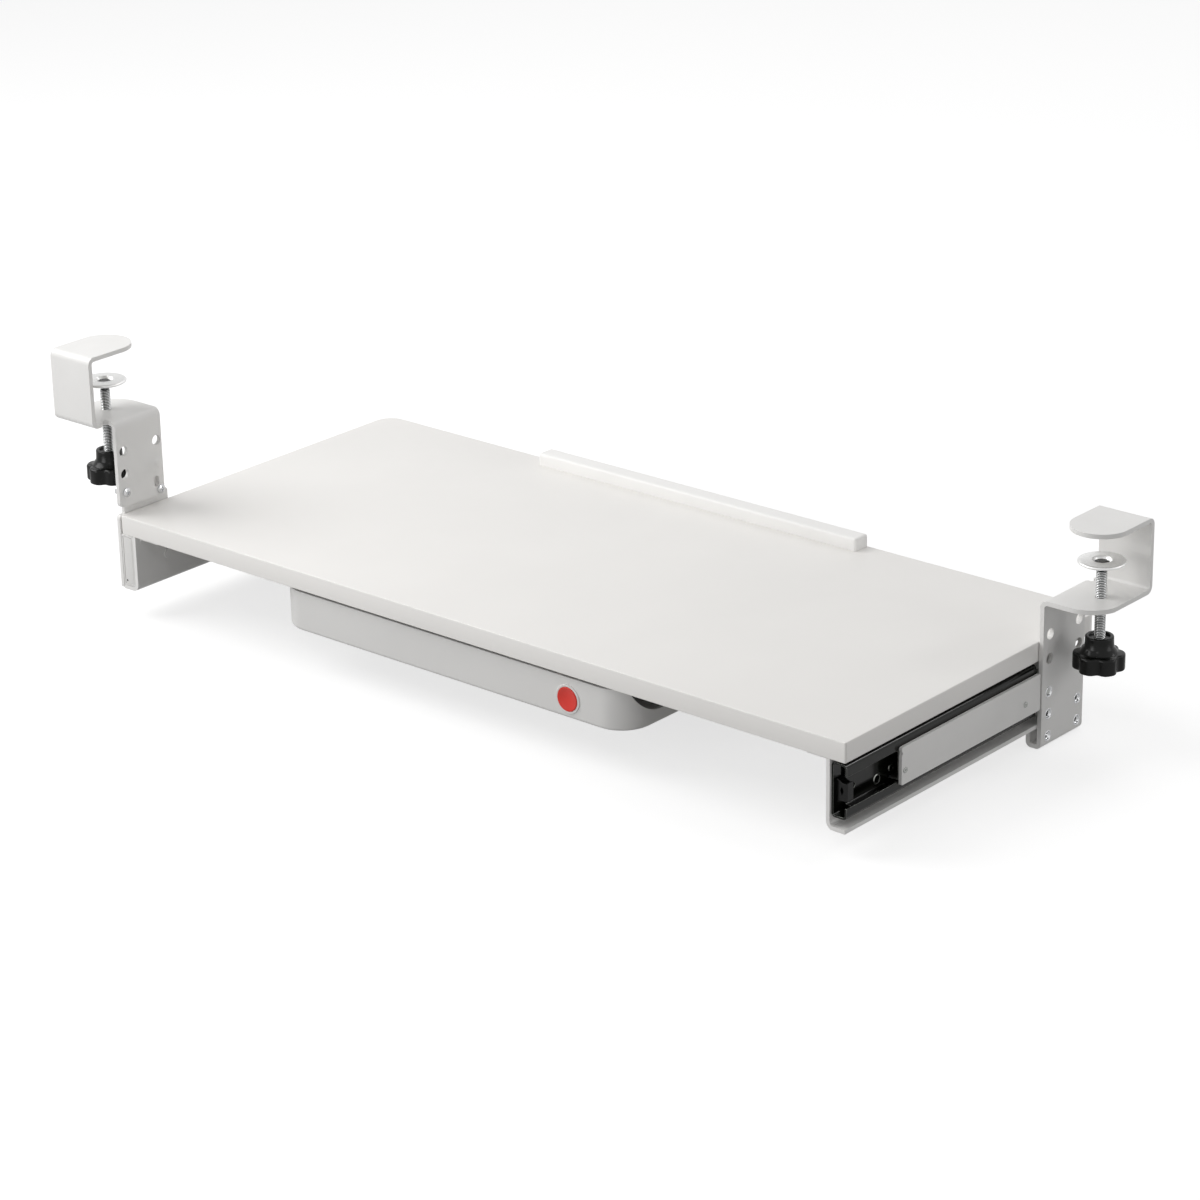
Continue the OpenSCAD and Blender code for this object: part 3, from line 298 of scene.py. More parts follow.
def tidied(mesh, angle):
    # Merges doubles, turns every face outward and sets the shading
    work = bmesh.new()
    work.from_mesh(mesh)
    bmesh.ops.remove_doubles(work, verts=work.verts, dist=sameSpot)
    bmesh.ops.dissolve_degenerate(work, edges=work.edges, dist=noLength)
    bmesh.ops.recalc_face_normals(work, faces=work.faces)
    work.to_mesh(mesh)
    work.free()
    smoothed(mesh, angle)
    return mesh


def gridMesh(name, grid, angle=sharpAngle, capped=False):
    # Joins a grid of points, (rows, columns, 3) with its columns closed on themselves, into one mesh;
    # capped lays a flat face over its first and its last row
    rows, columns = grid.shape[:2]
    index = np.arange(rows * columns).reshape(rows, columns)
    across = np.roll(index, -1, axis=1)
    quads = np.stack([index[:-1], across[:-1], across[1:], index[1:]], axis=-1)
    faces = quads.reshape(-1, 4).tolist()
    if capped:
        faces += [index[0, ::-1].tolist(), index[-1].tolist()]
    mesh = bpy.data.meshes.new(name)
    mesh.from_pydata(grid.reshape(-1, 3), [], faces)
    return tidied(mesh, angle)


def revolved(name, profile, steps, angle=sharpAngle, centre=(0, 0)):
    # Surface of revolution: radius and height pairs carried round an upright axis through the centre
    profile = np.asarray(profile, float)
    turn = np.linspace(0, 2 * np.pi, steps, endpoint=False)
    grid = np.empty((len(profile), steps, 3))
    grid[..., 0] = centre[0] + profile[:, :1] * np.cos(turn)
    grid[..., 1] = centre[1] + profile[:, :1] * np.sin(turn)
    grid[..., 2] = profile[:, 1:]
    return gridMesh(name, grid, angle)


def aimedForward(mesh, centre):
    # Turns a mesh made round an upright axis at the origin so that its top faces -Y, and moves it
    mesh.transform(Matrix.Translation(centre) @ Matrix.Rotation(math.radians(90), 4, "X"))
    return mesh


def facingX(mesh, centre, side):
    # The same, with the top turned to face +X for side 1 or -X for side -1
    mesh.transform(Matrix.Translation(centre) @ Matrix.Rotation(math.radians(90 * side), 4, "Y"))
    return mesh


def arcPoints(centre, radius, start, stop, steps):
    # Points on an arc, its ends at the two angles in degrees
    turn = np.radians(np.linspace(start, stop, steps))
    return [(centre[0] + radius * math.cos(a), centre[1] + radius * math.sin(a)) for a in turn]


def roundedOutline(low, high, radii, steps):
    # Corner arcs of a rectangle, anticlockwise from the corner at low, with each point's outward normal
    corners = [(low[0], low[1], 180, 1, 1), (high[0], low[1], 270, -1, 1),
               (high[0], high[1], 0, -1, -1), (low[0], high[1], 90, 1, -1)]
    points, normals = [], []
    for (x, y, start, signX, signY), radius in zip(corners, radii):
        turn = np.radians(np.linspace(start, start + 90, steps))
        normal = np.stack([np.cos(turn), np.sin(turn)], axis=-1)
        points.append(np.array([x + signX * radius, y + signY * radius]) + radius * normal)
        normals.append(normal)
    return np.concatenate(points), np.concatenate(normals)


def slab(name, outline, normals, edge):
    # An edge profile of inset and height pairs carried round an outline, closed by flat faces
    insets, heights = np.array(edge).T
    rings = np.empty((len(edge), len(outline), 3))
    rings[..., :2] = outline - normals * insets[:, None, None]
    rings[..., 2] = heights[:, None]
    return gridMesh(name, rings, capped=True)


def meshPoints(mesh):
    places = np.empty(len(mesh.vertices) * 3, np.float32)
    mesh.vertices.foreach_get("co", places)
    return places.reshape(-1, 3)


# Loose triangles are joined within join metres; areas that bend less than flat degrees become one face;
# edges that turn more than corner degrees are eased
easeLook = {"join": 2e-6, "flat": 0.4, "sharp": 30.0, "corner": 38.0, "segments": 2}


def mergedCopy(node, flatAngle=None):
    # A copy of a CAD node with its loose triangles joined, and with flat areas made one face if asked
    mesh = frame["nodes"][node].data.copy()
    work = bmesh.new()
    work.from_mesh(mesh)
    bmesh.ops.remove_doubles(work, verts=work.verts, dist=easeLook["join"])
    if flatAngle:
        bmesh.ops.dissolve_limit(work, angle_limit=math.radians(flatAngle),
                                 verts=work.verts, edges=work.edges)
    work.to_mesh(mesh)
    work.free()
    return mesh


def softened(node, width, material=None):
    # A copy of a CAD node with its sharp edges eased, so that they catch the light
    mesh = mergedCopy(node, easeLook["flat"])
    smoothed(mesh, easeLook["sharp"])
    words = node.split("_")
    piece = newPiece(words[0] + "".join(word.title() for word in words[1:]), mesh, node, material)
    bevel = piece.modifiers.new("easedEdges", "BEVEL")
    bevel.width = width
    bevel.segments = easeLook["segments"]
    bevel.limit_method = "ANGLE"
    bevel.angle_limit = math.radians(easeLook["corner"])
    bevel.harden_normals = True
    bevel.use_clamp_overlap = True
    if slotOfNode[node] == "black_steel":  # The coat is rubbed off along the edges, and their lighter bare steel is also a painted highlight line
        mesh.materials.append(materials["rubbed_steel_and_highlight"])
        bevel.material = 1


def solidBoxes(node):
    # Lowest and highest corners of each separate solid in a CAD node. Each point takes the lowest
    # number that its edges reach, again and again, until every solid has one number of its own.
    mesh = mergedCopy(node)
    places = meshPoints(mesh)
    ends = np.empty(len(mesh.edges) * 2, np.int32)
    mesh.edges.foreach_get("vertices", ends)
    ends = ends.reshape(-1, 2)
    bpy.data.meshes.remove(mesh)
    number, before = np.arange(len(places)), None
    while not np.array_equal(number, before):
        before = number.copy()
        lowest = number[ends].min(axis=1)
        for end in (0, 1):
            np.minimum.at(number, ends[:, end], lowest)
    solids = [places[number == first] for first in np.unique(number)]
    return [(Vector(solid.min(0)), Vector(solid.max(0))) for solid in solids]


def roundEdge(low, high, lowRadius, highRadius, steps=5):
    # Edge profile of a slab: round under, straight up, round over, as inset and height pairs
    under = [(lowRadius - lowRadius * math.sin(a), low + lowRadius - lowRadius * math.cos(a))
             for a in np.linspace(0, math.pi / 2, steps)]
    over = [(highRadius - highRadius * math.cos(a), high - highRadius + highRadius * math.sin(a))
            for a in np.linspace(0, math.pi / 2, steps)]
    return under + over


# Tray board: white laminate with slightly rounded edges

boardLook = {"backRadius": 0.015, "frontLeftRadius": 0.003, "frontRightRadius": 0.0008,
             "topEdge": 0.0007, "lowEdge": 0.0006, "arcSteps": 14,
             "seamBehind": 0.0002, "seamWidth": 0.0004, "seamDepth": 0.0005}


def makeBoard(look):
    low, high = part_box("tray_board")
    radii = (look["frontLeftRadius"], look["frontRightRadius"], look["backRadius"], look["backRadius"])
    outline, normals = roundedOutline(low, high, radii, look["arcSteps"])
    # Seam of the edge band: a narrow notch in the side just behind the front right corner
    corner = 2 * look["arcSteps"]      # the outline's points up to the end of that corner's arc
    start = outline[corner - 1][1] + look["seamBehind"]
    stop, depth = start + look["seamWidth"], high.x - look["seamDepth"]
    seam = np.array([(high.x, start), (depth, start), (depth, stop), (high.x, stop)])
    outline = np.insert(outline, corner, seam, axis=0)
    normals = np.insert(normals, corner, np.tile((1.0, 0.0), (len(seam), 1)), axis=0)
    edge = roundEdge(low.z, high.z, look["lowEdge"], look["topEdge"])
    newPiece("trayBoard", slab("trayBoard", outline, normals, edge), "tray_board")


makeBoard(boardLook)

# Stop strip along the back edge, with soft upper edges and ends

stripLook = {"cornerRadius": 0.0025, "topEdge": 0.0022, "lowEdge": 0.0002,
             "edgeSteps": 6, "arcSteps": 8}


def makeStrip(look):
    low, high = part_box("stop_strip")
    outline, normals = roundedOutline(low, high, (look["cornerRadius"],) * 4, look["arcSteps"])
    edge = roundEdge(low.z, high.z, look["lowEdge"], look["topEdge"], look["edgeSteps"])
    newPiece("stopStrip", slab("stopStrip", outline, normals, edge), "stop_strip")


makeStrip(stripLook)
print("stage: board and strip made")

# Bent sheet parts, slides and drawer keep the CAD shapes with eased edges: width of the ease in metres

easedNodes = {
    "left_clamp_bracket": 0.0006, "right_clamp_bracket": 0.0006, "left_side_plate": 0.0006,
    "left_rail_bracket": 0.0005, "right_rail_bracket": 0.0005,
    "left_cover_bar": 0.0005, "right_cover_bar": 0.0005,
    "left_outer_member": 0.0004, "right_outer_member": 0.0004,
    "left_middle_member": 0.0004, "right_middle_member": 0.0004,
    "left_inner_member": 0.00025, "right_inner_member": 0.00025,
    "left_slide_bumper": 0.0004, "right_slide_bumper": 0.0004,
    "left_drawer_runner": 0.0002, "right_drawer_runner": 0.0002,
    "storage_drawer": 0.0005, "lock_housing": 0.0003, "lock_striker": 0.0002,
    "side_plate_nuts": 0.0003, "side_plate_screws": 0.0002,
    "rail_bracket_screws": 0.0002, "runner_screws": 0.0002, "striker_screws": 0.0001,
    "inner_member_screws": 0.00015,
    "bezel_nut": 0.0002, "lock_pin": 0.0002, "outer_ball_cages": 0.0001, "inner_ball_cages": 0.0001,
    "cover_bar_rivets": 0.00015, "outer_member_rivets": 0.0001,
}
# Rivets with a finish apart from their slot's, and balls that stay as the CAD has them
rivetFinish = {"cover_bar_rivets": "zinc_steel", "outer_member_rivets": "white_steel"}
plainNodes = ("outer_balls", "inner_balls")

for nodeName, easeWidth in easedNodes.items():
    softened(nodeName, easeWidth, rivetFinish.get(nodeName))
for nodeName in plainNodes:
    slots = frame["nodes"][nodeName].data.materials
    slots.clear()
    slots.append(materials[slotOfNode[nodeName]])
print("stage: sheet parts, slides and drawer dressed")

# Threaded rings in the hanger plates: a rolled rim that stands proud, a countersink and a dark bore

ringLook = {"proud": 0.0003, "rim": 0.0009, "rimSteps": 7, "ledge": 0.0001, "bore": 0.0021,
            "sinkStart": 0.0006, "sinkEnd": 0.0013, "boreEase": 0.0002, "around": 40, "sharp": 40.0}


def makeRings(look):
    # Each ring is one profile of radius and depth, carried round its own axis
    joined = bmesh.new()
    rim, bore, ease = look["rim"] / 2, look["bore"], look["boreEase"]
    for low, high in solidBoxes("clinch_nuts"):
        side = 1 if low.x > 0 else -1
        inside = low.x if side > 0 else high.x
        radius, thick = (high.z - low.z) / 2, high.x - low.x
        profile = [(bore, 0), (radius, 0), (radius, thick)]
        profile += [(radius - rim + rim * math.cos(a), thick + look["proud"] * math.sin(a))
                    for a in np.linspace(0, math.pi, look["rimSteps"])]
        profile += [(radius - look["rim"] - look["ledge"], thick - look["sinkStart"]),
                    (bore + ease, thick - look["sinkEnd"]),
                    (bore, thick - look["sinkEnd"] - ease), (bore, 0)]
        mesh = revolved("ring", profile, look["around"], look["sharp"])
        joined.from_mesh(facingX(mesh, (inside, (low.y + high.y) / 2, (low.z + high.z) / 2), side))
        bpy.data.meshes.remove(mesh)
    mesh = bpy.data.meshes.new("clinchRings")
    joined.to_mesh(mesh)
    joined.free()
    smoothed(mesh, look["sharp"])
    newPiece("clinchRings", mesh, "clinch_nuts")


makeRings(ringLook)

# Rolled rims round two holes in the right middle member's web, in front of the cover bar; their lighter
# rubbed steel is partly a painted highlight on the rims

eyeletLook = {"wide": 0.0011, "high": 0.0005, "crestFrom": 0.0003, "crestTo": 0.0007, "drop": 0.0001,
              "web": 0.0012, "sunk": 0.00005, "around": 32, "sharp": 40.0,
              "holes": ((-0.0945, 0.0368, 0.0028), (-0.0785, 0.0398, 0.0020))}     # y, z, radius


def makeEyelets(look):
    # Each rim is one closed profile outside its hole's radius, standing on the web's outward face
    wide, tall, side = look["wide"], look["high"], look["high"] - look["drop"]
    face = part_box("right_middle_member")[0].x + look["web"] - look["sunk"]
    for number, (y, z, bore) in enumerate(look["holes"]):
        profile = [(bore, 0), (bore, side), (bore + look["crestFrom"], tall),
                   (bore + look["crestTo"], side), (bore + wide, 0), (bore, 0)]
        rim = revolved("webEyelet", profile, look["around"], look["sharp"])
        newPiece("webEyelet" + str(number + 1), facingX(rim, (face, y, z), 1), "right_middle_member",
                 replaces=False, finish=materials["rubbed_steel_and_highlight"])


makeEyelets(eyeletLook)

# Plastic cap in the left rail: a sunk line runs round its panel; a small relief dot in its lower corner
# is made black, a painted shade

capLook = {
    "margin": 0.0015, "line": 0.0004, "arcSteps": 5, "sharp": 30.0,
    "corner": 0.0012, "cornerShrink": 0.3, "leastCorner": 0.0005,
    # Inset and depth behind the front, from the outline, the line's near side and its far side
    "edge": ((0, 0.0005), (0.00015, 0.00015), (0.0005, 0)),
    "intoLine": ((-0.0001, 0), (0.00005, 0.0006)),
    "outOfLine": ((0, 0.0006), (0.00015, 0.0002), (0.0008, 0.0001)),
    "markPlace": (0.0022, 0.0030), "markHigh": 0.0004, "markAround": 20,
    "markProfile": ((0, 0), (0.0006, 0), (0.0007, 0.0001), (0.0007, 0.0004), (0, 0.0004)),
}


def makeCap(look):
    # Rings of one rounded outline, each inset further, carry the front down into the line and up again
    low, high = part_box("rail_end_cap")
    near, far, margin = np.array([low.x, low.z]), np.array([high.x, high.z]), look["margin"]
    steps = [(0, high.y)]
    starts = (0, margin, margin + look["line"])
    for start, rows in zip(starts, (look["edge"], look["intoLine"], look["outOfLine"])):
        steps += [(start + inset, low.y + depth) for inset, depth in rows]
    rings = []
    for inset, depth in steps:
        corner = max(look["corner"] - inset * look["cornerShrink"], look["leastCorner"])
        outline, _ = roundedOutline(near + inset, far - inset, (corner,) * 4, look["arcSteps"])
        rings.append(np.stack([outline[:, 0], np.full(len(outline), depth), outline[:, 1]], axis=-1))
    mesh = gridMesh("railEndCap", np.stack(rings), look["sharp"], capped=True)
    newPiece("railEndCap", mesh, "rail_end_cap")
    x, z = near + margin + np.array(look["markPlace"])
    # The dot's black plastic is painted shade on a relief dot of the pale cap
    dot = revolved("capShadeDot", look["markProfile"], look["markAround"])
    newPiece("capShadeDot", aimedForward(dot, Vector((x, low.y + look["markHigh"], z))), "rail_end_cap",
             material="black_plastic", replaces=False)


makeCap(capLook)
print("stage: threaded rings and rail cap made")

# Clamp screws: a rolled M8 thread over a plain core

threadLook = {
    "pitch": 0.00125, "depth": 0.00070,
    "steep": 1.3, "crest": 0.15,      # more makes the notch's sides steeper, the plain crest wider
    "rowsPerTurn": 12, "around": 48, "endCone": 0.0008, "sharp": 60.0,
    "neckLength": 0.0071, "neckRadius": 0.0025, "neckDrop": 0.0004,
    "headDrop": 0.0012, "headAround": 40,
    "head": ((0, 0), (0.0050, 0), (0.0052, 0.0003), (0.0042, 0.0009), (0.0026, 0.0010), (0, 0.0008)),
}


def makeClampScrew(side, look):
    # Radius is the major radius less a rounded notch that climbs a pitch each turn and fades at the ends
    low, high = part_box(side + "_clamp_screw")
    centre = (low + high) / 2
    major = (high.x - low.x) / 2
    top = high.z - look["neckLength"]
    rows = int((top - low.z) / look["pitch"] * look["rowsPerTurn"]) + 1
    height = np.linspace(low.z, top, rows)[:, None]
    turn = np.linspace(0, 2 * np.pi, look["around"], endpoint=False)
    phase = (height / look["pitch"] - turn / (2 * np.pi)) % 1.0
    notch = np.clip(look["steep"] * np.abs(2 * phase - 1) - look["crest"], 0, 1)
    fromEnd = np.minimum(height - low.z, top - height)
    fade = np.clip(fromEnd / look["endCone"], 0, 1)
    thread = major - look["depth"] * notch - look["depth"] * (1 - fade)
    # Rows from the closed lower end through the thread to the plain neck, closed again at its top
    neckTop = high.z - look["neckDrop"]
    radius = [np.zeros((1, look["around"])), thread]
    radius += [np.full((1, look["around"]), r) for r in (look["neckRadius"], look["neckRadius"], 0)]
    radius = np.concatenate(radius)
    height = np.concatenate([[[low.z]], height, [[top], [neckTop], [neckTop]]])
    grid = np.stack([centre.x + radius * np.cos(turn), centre.y + radius * np.sin(turn),
                     np.broadcast_to(height, radius.shape)], axis=-1)
    mesh = gridMesh(side + "ClampScrew", grid, look["sharp"])
    # Painted shade for the thread: each point's depth below the crests, which its finish turns darker
    place = meshPoints(mesh)
    sunk = (major - np.hypot(place[:, 0] - centre.x, place[:, 1] - centre.y)) / look["depth"]
    grooveShade = mesh.attributes.new("grooveShade", "FLOAT", "POINT")
    grooveShade.data.foreach_set("value", np.clip(sunk, 0, 1).astype(np.float32))
    newPiece(side + "ClampScrew", mesh, side + "_clamp_screw", finish=threadSteel)
    # Peened head in the pad's countersink, made black: painted shade that darkens the recess
    base = high.z - look["headDrop"]
    head = [(radius, base + rise) for radius, rise in look["head"]]
    mesh = revolved(side + "ScrewHead", head, look["headAround"], centre=centre)
    newPiece(side + "ScrewHead", mesh, side + "_clamp_screw", material="black_steel", replaces=False)


# Swivel pads: turned steel discs with a rolled rim, a dished top and a countersunk hole

padLook = {
    "around": 96, "sharp": 40.0, "thick": 0.0036, "hole": 0.0026,
    # Radius and height above the lowest point, then above the disc's under side
    "socket": ((0.0052, 0), (0.0056, 0.0005)),
    "under": ((0.0075, -0.0001), (0.0085, 0.0002)),
    # Inset from the edge, with height above the under side or depth below the top
    "flare": ((0.0030, 0.0006), (0.0014, 0.0010)),
    "dish": ((0.0019, 0.00012), (0.0030, 0.0003)),
    "rim": 0.0009, "rimDrop": 0.0003, "rimArc": (-50, 80, 8),     # arc: start, end, points
    # Radius and depth below the top
    "boss": ((0.0088, 0.0003), (0.0078, 0.00005), (0.0072, 0)),
    "sink": ((0.0067, 0.0004), (0.0058, 0.0026), (0.0026, 0.0026)),
}


def makePad(side, look):
    low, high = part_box(side + "_clamp_pad")
    radius, rim = (high.x - low.x) / 2, look["rim"]
    top, under = high.z, high.z - look["thick"]
    profile = [(look["hole"], low.z)] + [(r, low.z + rise) for r, rise in look["socket"]]
    profile += [(r, under + rise) for r, rise in look["under"]]
    profile += [(radius - inset, under + rise) for inset, rise in look["flare"]]
    profile += arcPoints((radius - rim, top - rim - look["rimDrop"]), rim, *look["rimArc"])
    profile += [(radius - inset, top - depth) for inset, depth in look["dish"]]
    profile += [(r, top - depth) for r, depth in look["boss"] + look["sink"]] + [(look["hole"], low.z)]
    mesh = revolved(side + "ClampPad", profile, look["around"], look["sharp"], (low + high) / 2)
    newPiece(side + "ClampPad", mesh, side + "_clamp_pad", finish=materials["pad_steel"])


# Knobs: a lobed head under a plain hub

knobLook = {
    "lobes": 6, "turned": 30.0, "valley": 0.0028, "fullness": 2.2, "around": 240, "sharp": 50.0,
    "headHeight": 0.0125, "hubRadius": 0.0104, "bore": 0.0041, "recess": 0.0016, "boreFloor": 0.0032,
    # Radius and height above the base
    "foot": ((0, 0.0006), (0.008, 0.0006), (0.0088, 0)), "footInset": 0.0018,
    # Rounded edges: radius, start angle in radians, points
    "lowRound": (0.0014, 0.2, 5), "topRound": (0.0020, 0.2, 6), "hubRound": (0.0010, 0.3, 5),
    "wallDrop": 0.0024, "brow": (0.0030, 0.0001),
    # Distance outside the hub and height above the head
    "shoulder": ((0.0034, 0.0002), (0.0026, 0.0007), (0.0007, 0.0036), (0, 0.0046)),
    "hubTaper": 0.0002, "hubDrop": 0.0012,
    # Inset from the hub and depth below its top
    "crown": ((0.0026, 0), (0.0030, 0.0005)), "recessInset": 0.0034,
}

quarterTurn = 1.57       # radians


def roundOver(size, start, steps):
    # A quarter round as inset and drop pairs, from near its side at the start angle to its top
    turn = np.linspace(start, quarterTurn, steps)
    return list(zip(size - size * np.cos(turn), size - size * np.sin(turn)))


def makeKnob(side, look):
    # Rows of radius and height: plain circles on the hub, the lobed outline less an inset on the head.
    # That outline is the lobe radius less a valley that swells with the cosine of the lobe angle.
    low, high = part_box(side + "_knob")
    screwLow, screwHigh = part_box(side + "_clamp_screw")
    centre = (screwLow + screwHigh) / 2
    turn = np.linspace(0, 2 * np.pi, look["around"], endpoint=False)
    wave = 0.5 - 0.5 * np.cos(look["lobes"] * (turn - math.radians(look["turned"])))
    lobed = (high.y - low.y) / 2 - look["valley"] * wave ** look["fullness"]
    base, headTop, hubTop = low.z, low.z + look["headHeight"], high.z
    hub, recess = look["hubRadius"], hubTop - look["recess"]
    taper = hub - look["hubTaper"]
    rows = [(radius, base + rise) for radius, rise in look["foot"]]
    rows += [(lobed - look["footInset"], base)]
    rows += [(lobed - drop, base + inset) for inset, drop in roundOver(*look["lowRound"])]
    rows += [(lobed, headTop - look["wallDrop"])]
    rows += [(lobed - inset, headTop - drop) for inset, drop in roundOver(*look["topRound"])]
    rows += [(lobed - look["brow"][0], headTop + look["brow"][1])]
    rows += [(hub + outside, headTop + rise) for outside, rise in look["shoulder"]]
    rows += [(taper, hubTop - look["hubDrop"])]
    rows += [(taper - inset, hubTop - drop) for inset, drop in roundOver(*look["hubRound"])]
    rows += [(hub - inset, hubTop - depth) for inset, depth in look["crown"]]
    rows += [(hub - look["recessInset"], recess), (look["bore"], recess)]
    rows += [(radius, base + look["boreFloor"]) for radius in (look["bore"], 0)]
    grid = np.empty((len(rows), look["around"], 3))
    for row, (radius, height) in enumerate(rows):
        grid[row, :, 0] = centre.x + radius * np.cos(turn)
        grid[row, :, 1] = centre.y + radius * np.sin(turn)
        grid[row, :, 2] = height
    newPiece(side + "Knob", gridMesh(side + "Knob", grid, look["sharp"]), side + "_knob")


for side in ("left", "right"):
    makeClampScrew(side, threadLook)
    makePad(side, padLook)
    makeKnob(side, knobLook)
print("stage: clamp screws, pads and knobs made")

# Push button: dished red face in a pale ring

buttonLook = {
    "around": 96, "faceSteps": 12, "arcSteps": 5,
    "radius": 0.0091, "faceRound": 0.0005, "dish": 0.0009, "dishEdge": 0.0008,
    "collarFrom": 0.0105, "collarTo": 0.0120,       # depths behind the face
    "stem": 0.003, "stemTaper": 0.006, "stemTip": 0.0026, "tipEase": 0.0002,
    "ringInner": 0.0092, "ringRound": 0.0004, "sleeve": 0.0103, "flange": 0.0008,
}


def makeButton(look):
    # Both are profiles carried round the button's axis; the face dips as the square of the radius
    low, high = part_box("lock_button")
    centre = Vector(((low.x + high.x) / 2, 0, (low.z + high.z) / 2))
    front, back = -low.y, -high.y
    radius, ease, collar = look["radius"], look["faceRound"], (high.x - low.x) / 2
    dished = radius - look["dishEdge"]
    face = [(r, front - look["dish"] * (1 - (r / dished) ** 2))
            for r in np.linspace(0, dished, look["faceSteps"])]
    face += arcPoints((radius - ease, front - ease), ease, 80, 0, look["arcSteps"])
    collarTop, collarEnd = front - look["collarFrom"], front - look["collarTo"]
    rest = [(radius, collarTop), (collar, collarTop), (collar, collarEnd), (look["stem"], collarEnd),
            (look["stem"], back + look["stemTaper"]), (look["stemTip"], back + look["tipEase"]),
            (0, back + look["tipEase"])]
    mesh = revolved("lockButton", face + rest, look["around"])
    newPiece("lockButton", aimedForward(mesh, centre), "lock_button")

    ringLow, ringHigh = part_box("button_bezel")
    front, back, outer = -ringLow.y, -ringHigh.y, (ringHigh.x - ringLow.x) / 2
    inner, sleeve, ease = look["ringInner"], look["sleeve"], look["ringRound"]
    flange = front - look["flange"]
    ring = [(inner, back), (sleeve, back), (sleeve, flange), (outer, flange)]
    ring += arcPoints((outer - ease, front - ease), ease, 0, 90, look["arcSteps"])
    ring += arcPoints((inner + ease, front - ease), ease, 90, 180, look["arcSteps"])
    ring += [(inner, back)]
    mesh = revolved("buttonRing", ring, look["around"])
    newPiece("buttonRing", aimedForward(mesh, centre), "button_bezel")


makeButton(buttonLook)

# Return spring of the lock: a wire carried along a helix

springLook = {"wire": 0.0004, "turns": 4, "around": 10, "stepsPerTurn": 28}


def makeSpring(look):
    # The coil's radius and height follow a circle of the wire's radius; each end closes on its middle
    low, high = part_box("lock_spring")
    centre, wire = (low + high) / 2, look["wire"]
    coil = (high.x - low.x) / 2 - wire
    path = np.linspace(0, look["turns"] * 2 * np.pi, look["turns"] * look["stepsPerTurn"] + 1)[:, None]
    around = np.linspace(0, 2 * np.pi, look["around"], endpoint=False)
    rise = low.z + wire + (high.z - low.z - 2 * wire) * path / path[-1]
    out = coil + wire * np.cos(around)
    grid = np.stack([centre.x + out * np.cos(path), centre.y + out * np.sin(path),
                     rise + wire * np.sin(around)], axis=-1)
    start, stop = (np.repeat(grid[k].mean(0)[None, None], look["around"], axis=1) for k in (0, -1))
    newPiece("lockSpring", gridMesh("lockSpring", np.concatenate([start, grid, stop])), "lock_spring")


makeSpring(springLook)
print("stage: push lock made")

# Floor, background and lamps

studioLook = {
    "floorSize": 14.0, "floorDrop": 0.0004, "floorColour": 0.42, "floorGlow": 0.70, "glossFloor": 0.42,
    "sky": 0.33, "glossSky": 0.88,
    "aim": (0, 0, 0.05),     # every lamp points here
    "lamps": {
        "key": {"place": (-1.35, -0.72, 1.45), "size": 1.5, "power": 24.5},
        "back": {"place": (-0.3, 1.6, 2.6), "size": 2.4, "power": 18.0},
        "front": {"place": (-0.6, -2.2, 0.6), "size": 1.2, "power": 12.5},
        "side": {"place": (2.0, 0.8, 0.5), "size": 1.0, "power": 4.5},
        "rim": {"place": (1.3, 1.7, 1.5), "size": 0.35, "power": 3.0},
        "glint": {"place": (1.0, -1.6, 1.7), "size": 0.30, "power": 2.0},
    },
}


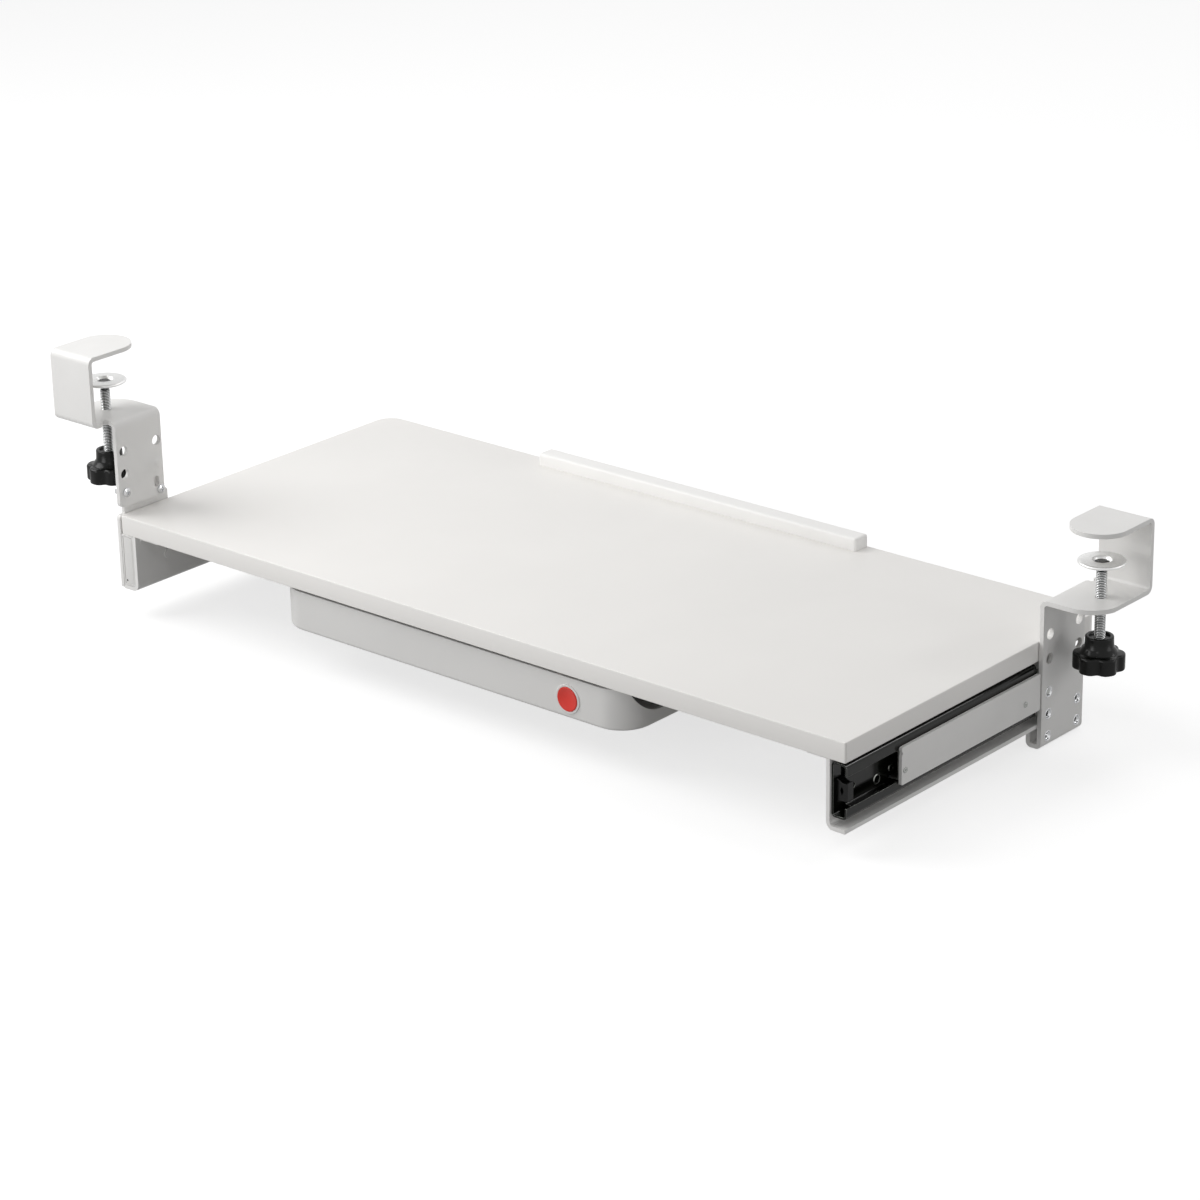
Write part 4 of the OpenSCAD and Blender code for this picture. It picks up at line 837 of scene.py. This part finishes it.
def makeFloor(look):
    # Pale paper: it takes shadows, and its glow is set apart for the camera and for what metal mirrors
    half, height = look["floorSize"] / 2, -look["floorDrop"]
    corners = [(x * half, y * half, height) for x, y in ((-1, -1), (1, -1), (1, 1), (-1, 1))]
    mesh = bpy.data.meshes.new("studioFloor")
    mesh.from_pydata(corners, [], [(0, 1, 2, 3)])
    floor = bpy.data.objects.new("studioFloor", mesh)
    bpy.context.scene.collection.objects.link(floor)
    material = bpy.data.materials.new("floorPaper")
    material.use_nodes = True
    nodes, links = material.node_tree.nodes, material.node_tree.links
    nodes.clear()
    diffuse = nodes.new("ShaderNodeBsdfDiffuse")
    diffuse.inputs["Color"].default_value = (look["floorColour"],) * 3 + (1,)
    glow = nodes.new("ShaderNodeEmission")
    seen = nodes.new("ShaderNodeLightPath")
    strength = nodes.new("ShaderNodeMath")
    strength.operation = "MULTIPLY"
    strength.inputs[1].default_value = look["floorGlow"]
    mirrored = nodes.new("ShaderNodeMath")
    mirrored.operation = "MULTIPLY_ADD"
    mirrored.inputs[1].default_value = look["glossFloor"]
    both = nodes.new("ShaderNodeAddShader")
    out = nodes.new("ShaderNodeOutputMaterial")
    links.new(seen.outputs["Is Camera Ray"], strength.inputs[0])
    links.new(seen.outputs["Is Glossy Ray"], mirrored.inputs[0])
    links.new(strength.outputs[0], mirrored.inputs[2])
    links.new(mirrored.outputs[0], glow.inputs["Strength"])
    links.new(diffuse.outputs[0], both.inputs[0])
    links.new(glow.outputs[0], both.inputs[1])
    links.new(both.outputs[0], out.inputs["Surface"])
    mesh.materials.append(material)


def makeSky(look):
    # Its own level of white for what lights the tray, what the metal mirrors and what the camera sees
    world = bpy.data.worlds.new("studioSky")
    bpy.context.scene.world = world
    world.use_nodes = True
    nodes, links = world.node_tree.nodes, world.node_tree.links
    back = nodes["Background"]
    seen = nodes.new("ShaderNodeLightPath")
    steps = []
    levels = (("Is Glossy Ray", look["glossSky"]), ("Is Transmission Ray", 1.0), ("Is Camera Ray", 1.0))
    for kind, level in levels:
        mix = nodes.new("ShaderNodeMix")
        mix.inputs["B"].default_value = level
        links.new(seen.outputs[kind], mix.inputs["Factor"])
        if steps:
            links.new(steps[-1].outputs["Result"], mix.inputs["A"])
        else:
            mix.inputs["A"].default_value = look["sky"]
        steps.append(mix)
    links.new(steps[-1].outputs["Result"], back.inputs["Strength"])
    back.inputs["Color"].default_value = (1, 1, 1, 1)


def makeLamp(name, look, aim):
    data = bpy.data.lights.new(name, "AREA")
    data.shape = "DISK"
    data.size = look["size"]
    data.energy = look["power"]
    lamp = bpy.data.objects.new(name, data)
    lamp.location = look["place"]
    direction = Vector(aim) - Vector(look["place"])
    lamp.rotation_euler = direction.to_track_quat("-Z", "Y").to_euler()
    bpy.context.scene.collection.objects.link(lamp)


makeFloor(studioLook)
makeSky(studioLook)
for lampName, lampLook in studioLook["lamps"].items():
    makeLamp(lampName + "Lamp", lampLook, studioLook["aim"])
bpy.context.scene.view_settings.view_transform = "Standard"
print("stage: floor, sky and lamps made")
